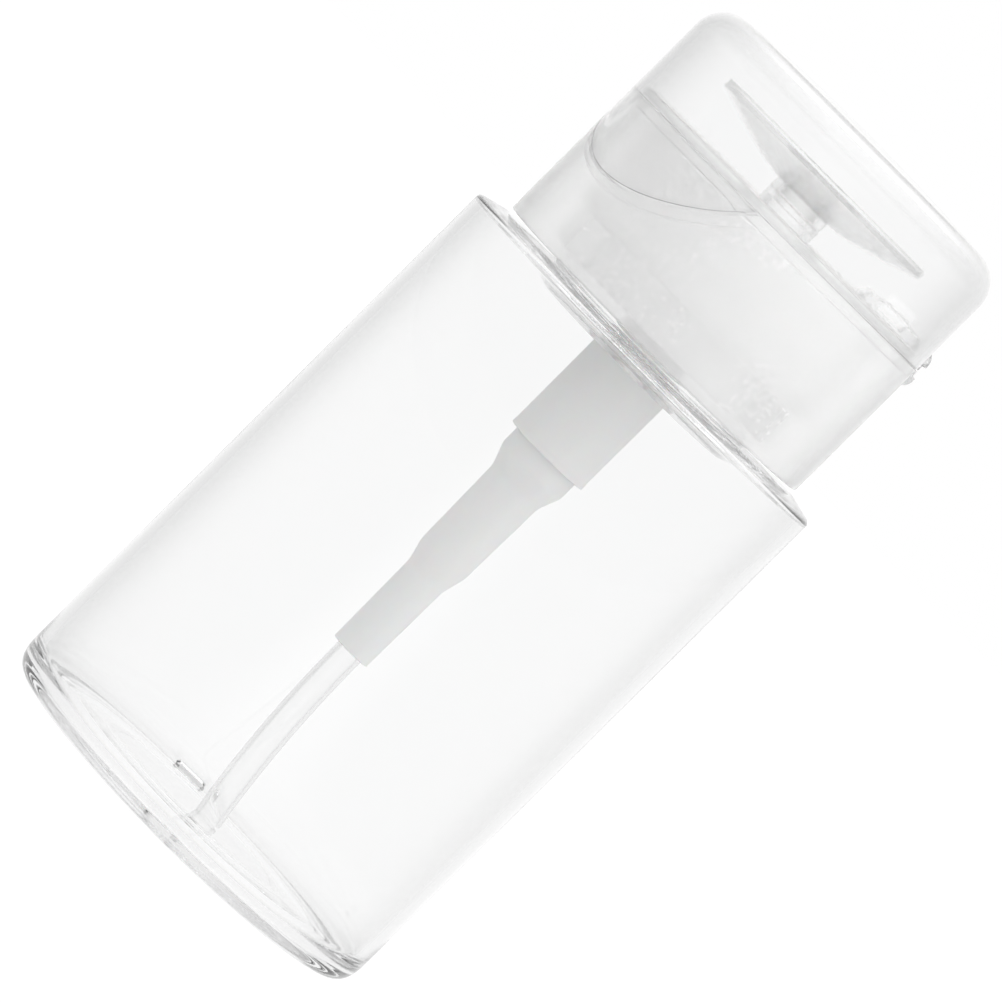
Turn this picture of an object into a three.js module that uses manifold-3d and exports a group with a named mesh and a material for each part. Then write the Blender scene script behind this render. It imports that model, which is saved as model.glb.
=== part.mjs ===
// Push-down dispenser bottle: a clear bottle with a screw closure, a flip lid and a dish that is pressed
// down to pump liquid up into it. Lengths are in millimetres. The bottle's axis is +Z and its base stands
// at z = 0. The thumb tab points to -Y and the lid's hinge lies at +Y.

import * as THREE from 'three';
import { mergeVertices } from 'three/addons/utils/BufferGeometryUtils.js';
import Module from 'manifold-3d';

// Facets round the axis
const wideFacets = 40;
const midFacets = 24;
const smallFacets = 16;
const arcSteps = 4;

// Clearances and cuts
const seatGap = 0.3;
const slideGap = 0.15;
const cutOverrun = 2;
const mergeTolerance = 0.0003;

// Bottle body
const bottleRadius = 30;
const bottleSideHeight = 84.8;
const bottleWall = 1.5;
const heelRadius = 2.1;
const innerHeelRadius = 3.2;
const standRingWidth = 3.4;
const pushUpStep = 0.6;
const floorRingStep = 0.25;
const outerRingRadius = 21.5;
const innerRingRadius = 14;
const ringSlope = 0.3;
const floorWall = 1.2;
const shoulderRise = 1;
const shoulderEdgeWidth = 0.5;
const shoulderSlopeWidth = 4;
const shoulderWall = 2.5;
const notchWidth = 5.2;
const notchTopWidth = 4.1;
const notchHeight = 1.2;
const notchReach = 6;
const notchAzimuth = 150;

// Neck
const neckHeight = 14.2;
const neckRadius = 17;
const neckWall = 1.6;
const neckFillet = 0.9;
const lipDepth = 1.7;
const lipEdgeWidth = 0.9;
const lipRootWidth = 2.7;
const neckTopChamfer = 0.4;

// Screw thread, the same on neck and cap
const threadPitch = 3.18;
const threadDepth = 1;
const threadRootWidth = 1.5;
const threadCrestWidth = 0.7;
const threadBury = 0.3;
const neckThreadStart = 4.2;
const neckThreadTurns = 1.6;
const capThreadTurns = 1.3;
const threadStepsPerTurn = 24;
const threadFadeShare = 0.12;
const threadEndShare = 0.1;

// Seals
const gasketThickness = 1.2;
const gasketWidth = 4.2;
const gasketEdgeInset = 0.4;
const stemSealHeight = 1.5;
const stemSealWidth = 1.5;
const sealLipDepth = 0.4;

// Screw cap, the inner threaded closure
const capBoreGap = 1.35;
const capWall = 1.05;
const capSkirtDrop = 12.1;
const capPlateThickness = 1.2;
const capRimHeight = 2.2;
const capRimWall = 1.2;
const capRibCount = 4;
const capRibThickness = 1;
const capRibHeight = 5.2;
const capRibRise = 0.3;
const capRibAzimuth = 8;

// Collar shell, the outer skin of the closure
const collarWall = 1.1;
const collarCavity = 3.2;
const collarFloat = 0.7;
const deckThickness = 1.3;
const deckRimInset = 1.4;
const deckRimRise = 1.6;
const deckRimWall = 1.1;
const deckLedgeWidth = 2.4;
const deckLedgeDepth = 1.7;
const deckBand = 3;
const socketWall = 1.7;
const socketDrop = 13.3;
const deckHoleGap = 0.3;

// Thumb tab on the lid and its pocket in the collar
const tabHalfWidth = 18.5;
const tabDepth = 10;
const tabThickness = 0.6;
const tabArcSteps = 14;
const pocketGap = 0.6;
const pocketDepth = 1.8;
const pocketWall = 1.1;

// Flip lid
const lidHeight = 17.05;
const lidWall = 1.1;
const lidCornerRadius = 3.8;
const lidCrown = 0.8;
const gussetWidth = 8;
const gussetDepth = 2.6;
const gussetHeight = 2.8;

// Hinge boss and film
const bossHalfWidth = 9;
const bossHalfHeight = 3.3;
const bossStand = 0.9;
const bossArcSteps = 10;
const filmThickness = 0.35;
const filmHalfHeight = 0.7;
const filmHalfWidth = 8;

// Press dish and stem
const dishRadius = 17.6;
const dishRise = 8;
const dishRimHeight = 1.2;
const dishDepth = 3.4;
const dishWall = 1.1;
const dishRimWall = 0.9;
const dishCurvePower = 1.35;
const dishSteps = 8;
const stemRadius = 4.4;
const stemBoreRadius = 3.1;
const insertLedgeRadius = 2.4;
const insertLedgeHeight = 0.8;
const ballStopRadius = 1.6;
const ballStopHeight = 0.8;

// Outlet insert in the dish
const insertGap = 0.2;
const insertHeight = 4.2;
const insertStand = 1.9;
const insertWall = 0.7;
const insertTop = 0.8;
const insertPortCount = 4;
const insertPortRadius = 0.45;
const insertPortDrop = 1.25;

// Guide tube with its flange
const flangeEdgeInset = 0.2;
const flangeThickness = 1.2;
const guideWall = 0.6;
const guideLength = 22.5;

// Pump cylinder, from its top down
const cylinderOverlap = 5;
const cylinderRadius = 6.3;
const cylinderBoreGap = 0.5;
const cylinderLength = 17.3;
const stepBandRadius = 5.25;
const stepBandLength = 2.7;
const topConeLength = 3;
const springTubeRadius = 4.1;
const springTubeFootRadius = 3.85;
const springTubeLength = 13.2;
const footConeLength = 3;
const outletRadius = 3.05;
const outletEndRadius = 2.9;
const outletLength = 13.8;
const cylinderWall = 1.2;
const pistonFloorRise = 0.7;
const springLedgeRise = 0.6;
const cageLipHeight = 0.4;
const cageLipRadius = 1.35;
const cageRadius = 1.9;
const cageHeight = 2.1;
const seatHeight = 1.2;
const throatRadius = 0.9;
const throatLength = 1.1;
const inletBallRadius = 1.6;
const ballGap = 0.12;

// Dip tube
const tubeRadius = 2;
const tubeWall = 0.5;
const tubeFloorGap = 0.4;
const tubeBend = 2.33;
const tubeBendAzimuth = 53;
const tubeFacets = 12;
const tubeSteps = 18;

// Piston, plunger, outlet ball and spring
const pistonHeight = 5.3;
const pistonWaist = 0.45;
const pistonLipHeight = 1.3;
const pistonRise = 3.5;
const rodRadius = 1.95;
const rodBoreRadius = 1.1;
const plungerPlugLength = 7.2;
const plungerSeatDepth = 1.4;
const plungerSeatRadius = 2.4;
const headRadius = 2.6;
const headThickness = 1.3;
const rodLength = 9.2;
const rodBoreRise = 1.1;
const rodPortRadius = 0.6;
const rodPortRise = 1.8;
const pinRadius = 1.3;
const pinLength = 5.8;
const outletBallRadius = 2.2;
const outletBallTravel = 0.8;
const springWire = 0.5;
const springMeanRadius = 2.15;
const springCurls = 9;
const springStepsPerCurl = 8;
const springSides = 5;

// Radii that follow from the neck outwards
const neckBoreRadius = neckRadius - neckWall;
const gasketRadius = neckRadius - gasketEdgeInset;
const flangeRadius = neckRadius - flangeEdgeInset;
const capBoreRadius = neckRadius + capBoreGap;
const capRadius = capBoreRadius + capWall;
const socketBoreRadius = capRadius + seatGap;
const socketRadius = socketBoreRadius + socketWall;
const collarBoreRadius = socketRadius + collarCavity;
const collarRadius = collarBoreRadius + collarWall;

// Levels that follow from the stack, from the bottle upwards
const shoulderTopZ = bottleSideHeight + shoulderRise;
const neckTopZ = shoulderTopZ + neckHeight;
const gasketZ = neckTopZ + seatGap;
const flangeZ = gasketZ + gasketThickness + seatGap;
const flangeTopZ = flangeZ + flangeThickness;
const capPlateZ = flangeTopZ + seatGap;
const capPlateTopZ = capPlateZ + capPlateThickness;
const capRimTopZ = capPlateTopZ + capRimHeight;
const capSkirtZ = neckTopZ - capSkirtDrop;
const ledgeZ = capRimTopZ + seatGap;
const deckZ = ledgeZ + deckLedgeDepth;
const deckTopZ = deckZ + deckThickness;
const seamZ = deckTopZ - deckRimRise;
const collarTopZ = seamZ - seatGap / 2;
const lidZ = seamZ + seatGap / 2;
const collarZ = shoulderTopZ + collarFloat;
const lidTopZ = seamZ + lidHeight;
const dishTopZ = deckTopZ + dishRise;
const dishRimZ = dishTopZ - dishRimHeight;
const dishZ = dishRimZ - dishDepth;
const dishFloorZ = dishZ + dishWall;

// Pump levels, from the flange downwards
const guideRadius = stemRadius + slideGap + guideWall;
const guideBoreRadius = stemRadius + slideGap;
const guideZ = flangeZ - guideLength;
const cylinderTopZ = guideZ + cylinderOverlap;
const cylinderStepZ = guideZ - seatGap;
const cylinderZ = cylinderTopZ - cylinderLength;
const stepBandZ = cylinderZ - stepBandLength;
const springTubeTopZ = stepBandZ - topConeLength;
const springTubeZ = springTubeTopZ - springTubeLength;
const outletTopZ = springTubeZ - footConeLength;
const outletZ = outletTopZ - outletLength;
const pistonBoreRadius = stemRadius + cylinderBoreGap;
const pistonFloorZ = cylinderZ + pistonFloorRise;
const springLedgeZ = springTubeZ + springLedgeRise;
const cageTopZ = springLedgeZ - cageLipHeight;
const seatTopZ = cageTopZ - cageHeight;
const seatZ = seatTopZ - seatHeight;
const throatZ = seatZ - throatLength;
const tubeTopZ = throatZ - seatGap;
const tubeBoreRadius = tubeRadius + slideGap;
const pistonZ = pistonFloorZ + pistonRise;
const pistonTopZ = pistonZ + pistonHeight;
const stemZ = pistonTopZ + seatGap;
const plungerTopZ = stemZ + plungerPlugLength;
const rodZ = stemZ - rodLength;
const headZ = rodZ - headThickness;
const springZ = springLedgeZ + seatGap;
const springTopZ = headZ - seatGap;

const wasm = await Module();
wasm.setup();

// A geometry's shared vertices merged, its empty triangles dropped and its faces turned outwards.
function solid(geometry) {
  const bare = new THREE.BufferGeometry();
  bare.setAttribute('position', geometry.getAttribute('position').clone());
  bare.setIndex(geometry.getIndex());
  const merged = mergeVertices(bare, mergeTolerance);
  const index = merged.getIndex().array;
  const kept = [];
  for (let i = 0; i < index.length; i += 3) {
    const [a, b, c] = index.slice(i, i + 3);
    if (a !== b && b !== c && c !== a) kept.push(a, b, c);
  }
  const position = merged.getAttribute('position');
  const corners = [new THREE.Vector3(), new THREE.Vector3(), new THREE.Vector3()];
  let volume = 0;
  for (let i = 0; i < kept.length; i += 3) {
    corners.forEach((corner, k) => corner.fromBufferAttribute(position, kept[i + k]));
    volume += corners[0].dot(corners[1].clone().cross(corners[2]));
  }
  if (volume < 0) kept.reverse();
  return new wasm.Manifold(new wasm.Mesh({
    numProp: 3,
    vertProperties: new Float32Array(position.array),
    triVerts: new Uint32Array(kept),
  }));
}

// A profile of [radius, height] points turned about the axis. It starts and ends on the axis or is closed.
function turned(points, facets) {
  const closed = points[0][0] > 0 || points[points.length - 1][0] > 0;
  const outline = (closed ? [...points, points[0]] : points).map(([r, z]) => new THREE.Vector2(r, z));
  return solid(new THREE.LatheGeometry(outline, facets).rotateX(Math.PI / 2));
}

// A plain ring or disc from z to top.
function ring(inner, outer, z, top, facets) {
  return turned([[inner, z], [outer, z], [outer, top], [inner, top]], facets);
}

// Points along an arc about (r, z), from one angle to another in degrees, both ends included.
function arc(r, z, radius, from, to) {
  return Array.from({ length: arcSteps + 1 }, (_, i) => {
    const angle = THREE.MathUtils.degToRad(from + (to - from) * i / arcSteps);
    return [r + radius * Math.cos(angle), z + radius * Math.sin(angle)];
  });
}

// An outline in the XZ plane carried along Y from front to back.
function slab(points, front, back) {
  const shape = new THREE.Shape(points.map(([x, z]) => new THREE.Vector2(x, z)));
  const extruded = new THREE.ExtrudeGeometry(shape, { depth: back - front, bevelEnabled: false });
  return solid(extruded.rotateX(Math.PI / 2).translate(0, back, 0));
}

// A block given by its lowest and highest corners.
function block(low, high) {
  const size = high.map((value, i) => value - low[i]);
  const box = new THREE.BoxGeometry(...size);
  return solid(box.translate(...low.map((value, i) => value + size[i] / 2)));
}

// A round hole cutter that runs outwards along X at a height, then is turned about the axis.
function crossPort(radius, reach, z, azimuth) {
  const bar = new THREE.CylinderGeometry(radius, radius, reach, smallFacets / 2);
  return solid(bar.rotateZ(Math.PI / 2).translate(reach / 2, 0, z).rotateZ(azimuth));
}

// A screw ridge: a trapezoid section carried along a helix, fading at both ends. Its root is buried.
function threadRidge(rootRadius, crestRadius, startZ, turns) {
  const steps = Math.round(turns * threadStepsPerTurn);
  const bury = crestRadius > rootRadius ? -threadBury : threadBury;
  const vertices = [];
  const index = [];
  for (let i = 0; i <= steps; i++) {
    const share = i / steps;
    const fade = Math.min(1, threadEndShare + Math.min(share, 1 - share) / threadFadeShare);
    const angle = share * turns * 2 * Math.PI;
    const middle = startZ + share * turns * threadPitch;
    const crest = rootRadius + (crestRadius - rootRadius) * fade;
    const section = [
      [rootRadius + bury, -threadRootWidth / 2], [crest, -threadCrestWidth / 2],
      [crest, threadCrestWidth / 2], [rootRadius + bury, threadRootWidth / 2],
    ];
    section.forEach(([r, dz]) => vertices.push(r * Math.cos(angle), r * Math.sin(angle), middle + dz));
  }
  for (let i = 0; i < steps; i++) {
    for (let k = 0; k < 4; k++) {
      const a = 4 * i + k;
      const b = 4 * i + (k + 1) % 4;
      index.push(a, b, b + 4, a, b + 4, a + 4);
    }
  }
  const last = 4 * steps;
  index.push(0, 2, 1, 0, 3, 2, last, last + 1, last + 2, last, last + 2, last + 3);
  const ridge = new THREE.BufferGeometry();
  ridge.setAttribute('position', new THREE.Float32BufferAttribute(vertices, 3));
  ridge.setIndex(index);
  return solid(ridge);
}

// A wire along a helix between two levels, one unbroken tube with flat ends.
function helicalSpring(bottom, top) {
  const steps = springCurls * springStepsPerCurl;
  const wire = springWire / 2;
  const rise = top - bottom - springWire;
  const slope = Math.atan2(rise / springCurls, 2 * Math.PI * springMeanRadius);
  const vertices = [];
  const index = [];
  const middles = [];
  for (let i = 0; i <= steps; i++) {
    const angle = 2 * Math.PI * i / springStepsPerCurl;
    const out = new THREE.Vector3(Math.cos(angle), Math.sin(angle), 0);
    const along = new THREE.Vector3(-Math.sin(angle) * Math.cos(slope), Math.cos(angle) * Math.cos(slope),
      Math.sin(slope));
    const up = out.clone().cross(along);
    const middle = out.clone().multiplyScalar(springMeanRadius).setZ(bottom + wire + rise * i / steps);
    middles.push(middle);
    for (let k = 0; k < springSides; k++) {
      const turn = 2 * Math.PI * k / springSides;
      const point = middle.clone().addScaledVector(out, wire * Math.cos(turn))
        .addScaledVector(up, wire * Math.sin(turn));
      vertices.push(point.x, point.y, point.z);
    }
  }
  for (let i = 0; i < steps; i++) {
    for (let k = 0; k < springSides; k++) {
      const a = springSides * i + k;
      const b = springSides * i + (k + 1) % springSides;
      index.push(a, b, b + springSides, a, b + springSides, a + springSides);
    }
  }
  const last = springSides * steps;
  for (let k = 1; k < springSides - 1; k++) {
    index.push(0, k + 1, k, last, last + k, last + k + 1);
  }
  const gap = leastSelfGap(middles, springStepsPerCurl) - springWire;
  console.log(`return spring: least gap between its curls ${gap.toFixed(2)} mm`);
  const coil = new THREE.BufferGeometry();
  coil.setAttribute('position', new THREE.Float32BufferAttribute(vertices, 3));
  coil.setIndex(index);
  return solid(coil);
}

// The least distance between points of a wire that lie at least three quarters of a curl apart.
function leastSelfGap(points, stepsPerCurl) {
  let least = Infinity;
  points.forEach((point, i) => {
    for (let k = i + Math.ceil(stepsPerCurl * 3 / 4); k < points.length; k++) {
      least = Math.min(least, point.distanceTo(points[k]));
    }
  });
  return least;
}

const object = new THREE.Group();

// Adds a solid to the object as a named mesh with flat faces.
function addPiece(name, piece, material) {
  const mesh = piece.getMesh();
  const geometry = new THREE.BufferGeometry();
  geometry.setAttribute('position', new THREE.BufferAttribute(mesh.vertProperties, 3));
  geometry.setIndex(new THREE.BufferAttribute(mesh.triVerts, 1));
  geometry.computeVertexNormals();
  const placed = new THREE.Mesh(geometry, material);
  placed.name = name;
  object.add(placed);
}

function plastic(color, roughness) {
  return new THREE.MeshStandardMaterial({ color, roughness, metalness: 0 });
}

const clearPlastic = plastic(0xf3f5f6, 0.08);
const frostedPlastic = plastic(0xe6e7e8, 0.4);
const pumpPlastic = plastic(0xd8d8d6, 0.45);
const tubePlastic = plastic(0xeef0f1, 0.2);
const sealPlastic = plastic(0xe9e9e6, 0.6);
const steel = new THREE.MeshStandardMaterial({ color: 0xb9bcc0, roughness: 0.3, metalness: 1 });

// Bottle: a blown cylinder with a stepped push-up, a flat shoulder and a threaded neck. The neck's root
// hangs into the bottle as a bevelled lip, and a notch in the heel sets the bottle's turn when it is printed.
function makeBottle() {
  const standOuter = bottleRadius - heelRadius;
  const standInner = standOuter - standRingWidth;
  const firstStepZ = pushUpStep + floorRingStep;
  const centreZ = firstStepZ + 2 * floorRingStep;
  const innerRadius = bottleRadius - bottleWall;
  const heelFloorZ = firstStepZ + floorWall;
  const underShoulderZ = shoulderTopZ - shoulderWall;
  const cornerRadius = shoulderWall - shoulderRise;
  const body = turned([
    [0, centreZ], [innerRingRadius, centreZ], [innerRingRadius + ringSlope, centreZ - floorRingStep],
    [outerRingRadius, centreZ - floorRingStep], [outerRingRadius + ringSlope, firstStepZ],
    [standInner - ringSlope, pushUpStep], [standInner, 0],
    ...arc(standOuter, heelRadius, heelRadius, -90, 0),
    [bottleRadius, bottleSideHeight - shoulderEdgeWidth],
    [bottleRadius - shoulderEdgeWidth, bottleSideHeight],
    [bottleRadius - shoulderSlopeWidth, shoulderTopZ],
    [neckRadius + neckFillet, shoulderTopZ], [neckRadius, shoulderTopZ + neckFillet],
    [neckRadius, neckTopZ - neckTopChamfer], [neckRadius - neckTopChamfer, neckTopZ],
    [neckBoreRadius, neckTopZ], [neckBoreRadius, underShoulderZ - lipDepth],
    [neckBoreRadius + lipEdgeWidth, underShoulderZ - lipDepth],
    [neckBoreRadius + lipRootWidth, underShoulderZ],
    ...arc(innerRadius - cornerRadius, underShoulderZ - cornerRadius, cornerRadius, 90, 0),
    ...arc(innerRadius - innerHeelRadius, heelFloorZ + innerHeelRadius, innerHeelRadius, 0, -90),
    [innerRingRadius, centreZ + floorWall], [0, centreZ + floorWall],
  ], wideFacets);
  const threadZ = shoulderTopZ + neckThreadStart;
  const ridge = threadRidge(neckRadius, neckRadius + threadDepth, threadZ, neckThreadTurns);
  const notch = slab([
    [-notchWidth / 2, -cutOverrun], [notchWidth / 2, -cutOverrun], [notchWidth / 2, 0],
    [notchTopWidth / 2, notchHeight], [-notchTopWidth / 2, notchHeight], [-notchWidth / 2, 0],
  ], bottleRadius - notchReach, bottleRadius + cutOverrun).rotate([0, 0, notchAzimuth - 90]);
  return body.add(ridge).subtract(notch);
}

// Dip tube: a straight length in the cylinder's foot, then a bend as a parabola down to the floor.
class DipTubePath extends THREE.Curve {
  getPoint(t) {
    const floorZ = pushUpStep + 3 * floorRingStep + floorWall;
    const endZ = floorZ + tubeFloorGap;
    const z = tubeTopZ + (endZ - tubeTopZ) * t;
    const below = Math.max(0, outletZ - z) / (outletZ - endZ);
    const azimuth = THREE.MathUtils.degToRad(tubeBendAzimuth);
    const shift = tubeBend * below * below;
    return new THREE.Vector3(shift * Math.cos(azimuth), shift * Math.sin(azimuth), z);
  }
}

function makeDipTube() {
  const circle = (radius) => Array.from({ length: tubeFacets }, (_, i) => {
    const angle = 2 * Math.PI * i / tubeFacets;
    return new THREE.Vector2(radius * Math.cos(angle), radius * Math.sin(angle));
  });
  const section = new THREE.Shape(circle(tubeRadius));
  section.holes.push(new THREE.Path(circle(tubeRadius - tubeWall)));
  const extrudePath = new DipTubePath();
  return solid(new THREE.ExtrudeGeometry(section, { steps: tubeSteps, extrudePath, bevelEnabled: false }));
}

// Pump cylinder: a stepped moulding with the piston's bore, the spring's tube, the ball's cage and seat,
// and the socket of the dip tube.
function makePumpCylinder() {
  return turned([
    [guideRadius + slideGap, cylinderTopZ], [cylinderRadius, cylinderTopZ], [cylinderRadius, cylinderZ],
    [stepBandRadius, cylinderZ], [stepBandRadius, stepBandZ], [springTubeRadius, springTubeTopZ],
    [springTubeFootRadius, springTubeZ], [outletRadius, outletTopZ], [outletEndRadius, outletZ],
    [tubeBoreRadius, outletZ], [tubeBoreRadius, throatZ], [throatRadius, throatZ],
    [throatRadius, seatZ], [cageRadius, seatTopZ], [cageRadius, cageTopZ],
    [cageLipRadius, cageTopZ], [cageLipRadius, springLedgeZ],
    [springTubeFootRadius - cylinderWall, springLedgeZ],
    [springTubeRadius - cylinderWall, springTubeTopZ], [stepBandRadius - cylinderWall, stepBandZ],
    [stepBandRadius - cylinderWall, pistonFloorZ], [pistonBoreRadius, pistonFloorZ],
    [pistonBoreRadius, cylinderStepZ], [guideRadius + slideGap, cylinderStepZ],
  ], midFacets);
}

// Guide tube: the flange that is clamped on the neck, and the tube that the stem slides in.
function makeGuideTube() {
  return turned([
    [guideBoreRadius, flangeTopZ], [flangeRadius, flangeTopZ], [flangeRadius, flangeZ],
    [guideRadius, flangeZ], [guideRadius, guideZ], [guideBoreRadius, guideZ],
  ], midFacets);
}

// Stem seal: a soft ring on the flange, with a lip towards the stem.
function makeStemSeal() {
  const outer = guideBoreRadius + stemSealWidth;
  const z = flangeTopZ + seatGap;
  return turned([
    [guideBoreRadius, z], [outer, z], [outer, z + stemSealHeight],
    [guideBoreRadius + sealLipDepth, z + stemSealHeight], [guideBoreRadius, z + sealLipDepth],
  ], midFacets);
}

// Screw cap: the threaded closure inside the collar, with a top plate over the flange and four ribs.
function makeScrewCap() {
  const bore = capBoreRadius;
  const outer = capRadius;
  const plateBore = guideBoreRadius + stemSealWidth + seatGap;
  const shell = turned([
    [plateBore, capPlateZ], [bore, capPlateZ], [bore, capSkirtZ], [outer, capSkirtZ],
    [outer, capRimTopZ], [outer - capRimWall, capRimTopZ], [outer - capRimWall, capPlateTopZ],
    [plateBore, capPlateTopZ],
  ], wideFacets);
  const threadZ = shoulderTopZ + neckThreadStart + threadPitch / 2;
  let cap = shell.add(threadRidge(bore, bore - threadDepth, threadZ, capThreadTurns));
  for (let i = 0; i < capRibCount; i++) {
    const ribZ = capSkirtZ + capRibRise;
    const rib = block([outer - capWall / 2, -capRibThickness / 2, ribZ],
      [collarBoreRadius - seatGap, capRibThickness / 2, ribZ + capRibHeight]);
    cap = cap.add(rib.rotate([0, 0, capRibAzimuth + 360 * i / capRibCount]));
  }
  return cap;
}

// The thumb tab's outline in the XZ plane: a flat arc that hangs from a level, grown by an offset.
function tabOutline(offset, topZ) {
  const radius = (tabHalfWidth ** 2 + tabDepth ** 2) / (2 * tabDepth);
  const middleZ = seamZ - tabDepth + radius;
  const grown = radius + offset;
  const halfAngle = Math.acos((middleZ - topZ) / grown);
  return Array.from({ length: tabArcSteps + 1 }, (_, i) => {
    const angle = halfAngle * (2 * i / tabArcSteps - 1);
    return [grown * Math.sin(angle), middleZ - grown * Math.cos(angle)];
  });
}

// A band of the round wall, cut to the tab's outline.
function tabBand(inner, outer, offset, topZ) {
  const low = seamZ - tabDepth - offset - cutOverrun;
  const outline = slab(tabOutline(offset, topZ), -collarRadius - cutOverrun, 0);
  return ring(inner, outer, low, topZ, wideFacets).intersect(outline);
}

// One half of the hinge boss, a flat oval pad that stands off the round wall at the back.
function hingeBoss(sign) {
  const z = seamZ + sign * seatGap / 2;
  const reach = bossHalfHeight - seatGap / 2;
  const outline = Array.from({ length: bossArcSteps + 1 }, (_, i) => {
    const angle = Math.PI * i / bossArcSteps;
    return [bossHalfWidth * Math.cos(angle), z + sign * reach * Math.sin(angle)];
  });
  const face = collarRadius + bossStand;
  const pad = slab(outline, collarRadius - bossHalfWidth, face);
  const inside = collarRadius - collarWall / 2;
  const clear = ring(0, inside, seamZ - tabDepth, seamZ + tabDepth, wideFacets);
  const recess = block(
    [-bossHalfWidth - cutOverrun, face - filmThickness - seatGap, seamZ - filmHalfHeight - seatGap],
    [bossHalfWidth + cutOverrun, face + cutOverrun, seamZ + filmHalfHeight + seatGap],
  );
  return pad.subtract(clear).subtract(recess);
}

// Collar shell: the outer skin, the deck with its raised rim, the socket that holds the screw cap,
// the thumb pocket and the lower hinge boss.
function makeCollarShell() {
  const rim = collarRadius - deckRimInset;
  const hole = stemRadius + deckHoleGap;
  const inner = collarBoreRadius;
  const bandZ = deckTopZ - deckBand;
  const socketZ = ledgeZ - socketDrop;
  const ledgeRadius = capRadius - deckLedgeWidth;
  const skin = turned([
    [hole, deckTopZ], [rim, deckTopZ], [rim, collarTopZ], [collarRadius, collarTopZ],
    [collarRadius, collarZ], [inner, collarZ], [inner, bandZ], [rim - deckRimWall, bandZ],
    [rim - deckRimWall, deckZ], [socketRadius, deckZ], [socketRadius, socketZ],
    [socketBoreRadius, socketZ], [socketBoreRadius, ledgeZ], [ledgeRadius, ledgeZ],
    [ledgeRadius, deckZ], [hole, deckZ],
  ], wideFacets);
  const pocketRadius = collarRadius - pocketDepth;
  const wallTopZ = deckTopZ - deckBand + collarWall / 2;
  const pocketWallBand = tabBand(pocketRadius - pocketWall, inner + collarWall / 2,
    pocketGap + pocketWall, wallTopZ);
  const pocket = tabBand(pocketRadius, collarRadius + cutOverrun, pocketGap, collarTopZ);
  return skin.add(pocketWallBand).subtract(pocket).add(hingeBoss(-1));
}

// Flip lid: a cup with rounded corners and a slight crown, the thumb tab, the upper hinge boss and a
// small gusset behind the hinge.
function makeFlipLid() {
  const inner = collarRadius - lidWall;
  const innerCorner = lidCornerRadius - lidWall;
  const cornerZ = lidTopZ - lidCrown - lidCornerRadius;
  const cup = turned([
    [inner, lidZ], [collarRadius, lidZ],
    ...arc(collarRadius - lidCornerRadius, cornerZ, lidCornerRadius, 0, 90),
    [(collarRadius - lidCornerRadius) / 2, lidTopZ - lidCrown / 4], [0, lidTopZ],
    [0, lidTopZ - lidWall], [(collarRadius - lidCornerRadius) / 2, lidTopZ - lidCrown / 4 - lidWall],
    ...arc(inner - innerCorner, cornerZ, innerCorner, 90, 0),
  ], wideFacets);
  const tab = tabBand(collarRadius - tabThickness, collarRadius, 0, lidZ + lidWall);
  const gussetZ = deckTopZ + seatGap;
  const gusset = block([-gussetWidth / 2, inner - gussetDepth, gussetZ],
    [gussetWidth / 2, inner + lidWall / 2, gussetZ + gussetHeight]);
  return cup.add(tab).add(hingeBoss(1)).add(gusset);
}

// Living hinge: the film that joins the two bosses, flush with their faces.
function makeLivingHinge() {
  const face = collarRadius + bossStand;
  return block([-filmHalfWidth, face - filmThickness, seamZ - filmHalfHeight],
    [filmHalfWidth, face, seamZ + filmHalfHeight]);
}

// Press dish: a shallow dish on its hollow stem. The stem's bore has a ledge under the outlet insert and
// a stop over the outlet ball.
function makePressDish(insertZ, ballStopZ) {
  const rimStart = dishRadius - dishRimWall;
  const underside = Array.from({ length: dishSteps + 1 }, (_, i) => {
    const share = i / dishSteps;
    return [stemRadius + (dishRadius - stemRadius) * share, dishZ + dishDepth * share ** dishCurvePower];
  });
  const inside = Array.from({ length: dishSteps + 1 }, (_, i) => {
    const share = 1 - i / dishSteps;
    return [
      stemRadius + (rimStart - stemRadius) * share,
      dishFloorZ + (dishTopZ - dishFloorZ - dishWall / 2) * share ** dishCurvePower,
    ];
  });
  const ledgeTopZ = insertZ - seatGap;
  return turned([
    [stemBoreRadius, stemZ], [stemRadius, stemZ], ...underside, [dishRadius, dishTopZ],
    [rimStart, dishTopZ], ...inside, [stemBoreRadius, dishFloorZ], [stemBoreRadius, ledgeTopZ],
    [insertLedgeRadius, ledgeTopZ], [insertLedgeRadius, ledgeTopZ - insertLedgeHeight],
    [stemBoreRadius, ledgeTopZ - insertLedgeHeight], [stemBoreRadius, ballStopZ + ballStopHeight],
    [ballStopRadius, ballStopZ + ballStopHeight], [ballStopRadius, ballStopZ],
    [stemBoreRadius, ballStopZ],
  ], midFacets);
}

// Outlet insert: a small cup turned upside down in the dish, with ports at the dish's floor.
function makeOutletInsert(insertZ) {
  const radius = stemBoreRadius - insertGap;
  const topZ = insertZ + insertHeight;
  let insert = turned([
    [radius - insertWall, insertZ], [radius, insertZ], [radius, topZ], [0, topZ],
    [0, topZ - insertTop], [radius - insertWall, topZ - insertTop],
  ], midFacets);
  for (let i = 0; i < insertPortCount; i++) {
    const azimuth = 2 * Math.PI * i / insertPortCount;
    const port = crossPort(insertPortRadius, radius + cutOverrun, topZ - insertPortDrop, azimuth);
    insert = insert.subtract(port);
  }
  return insert;
}

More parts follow.
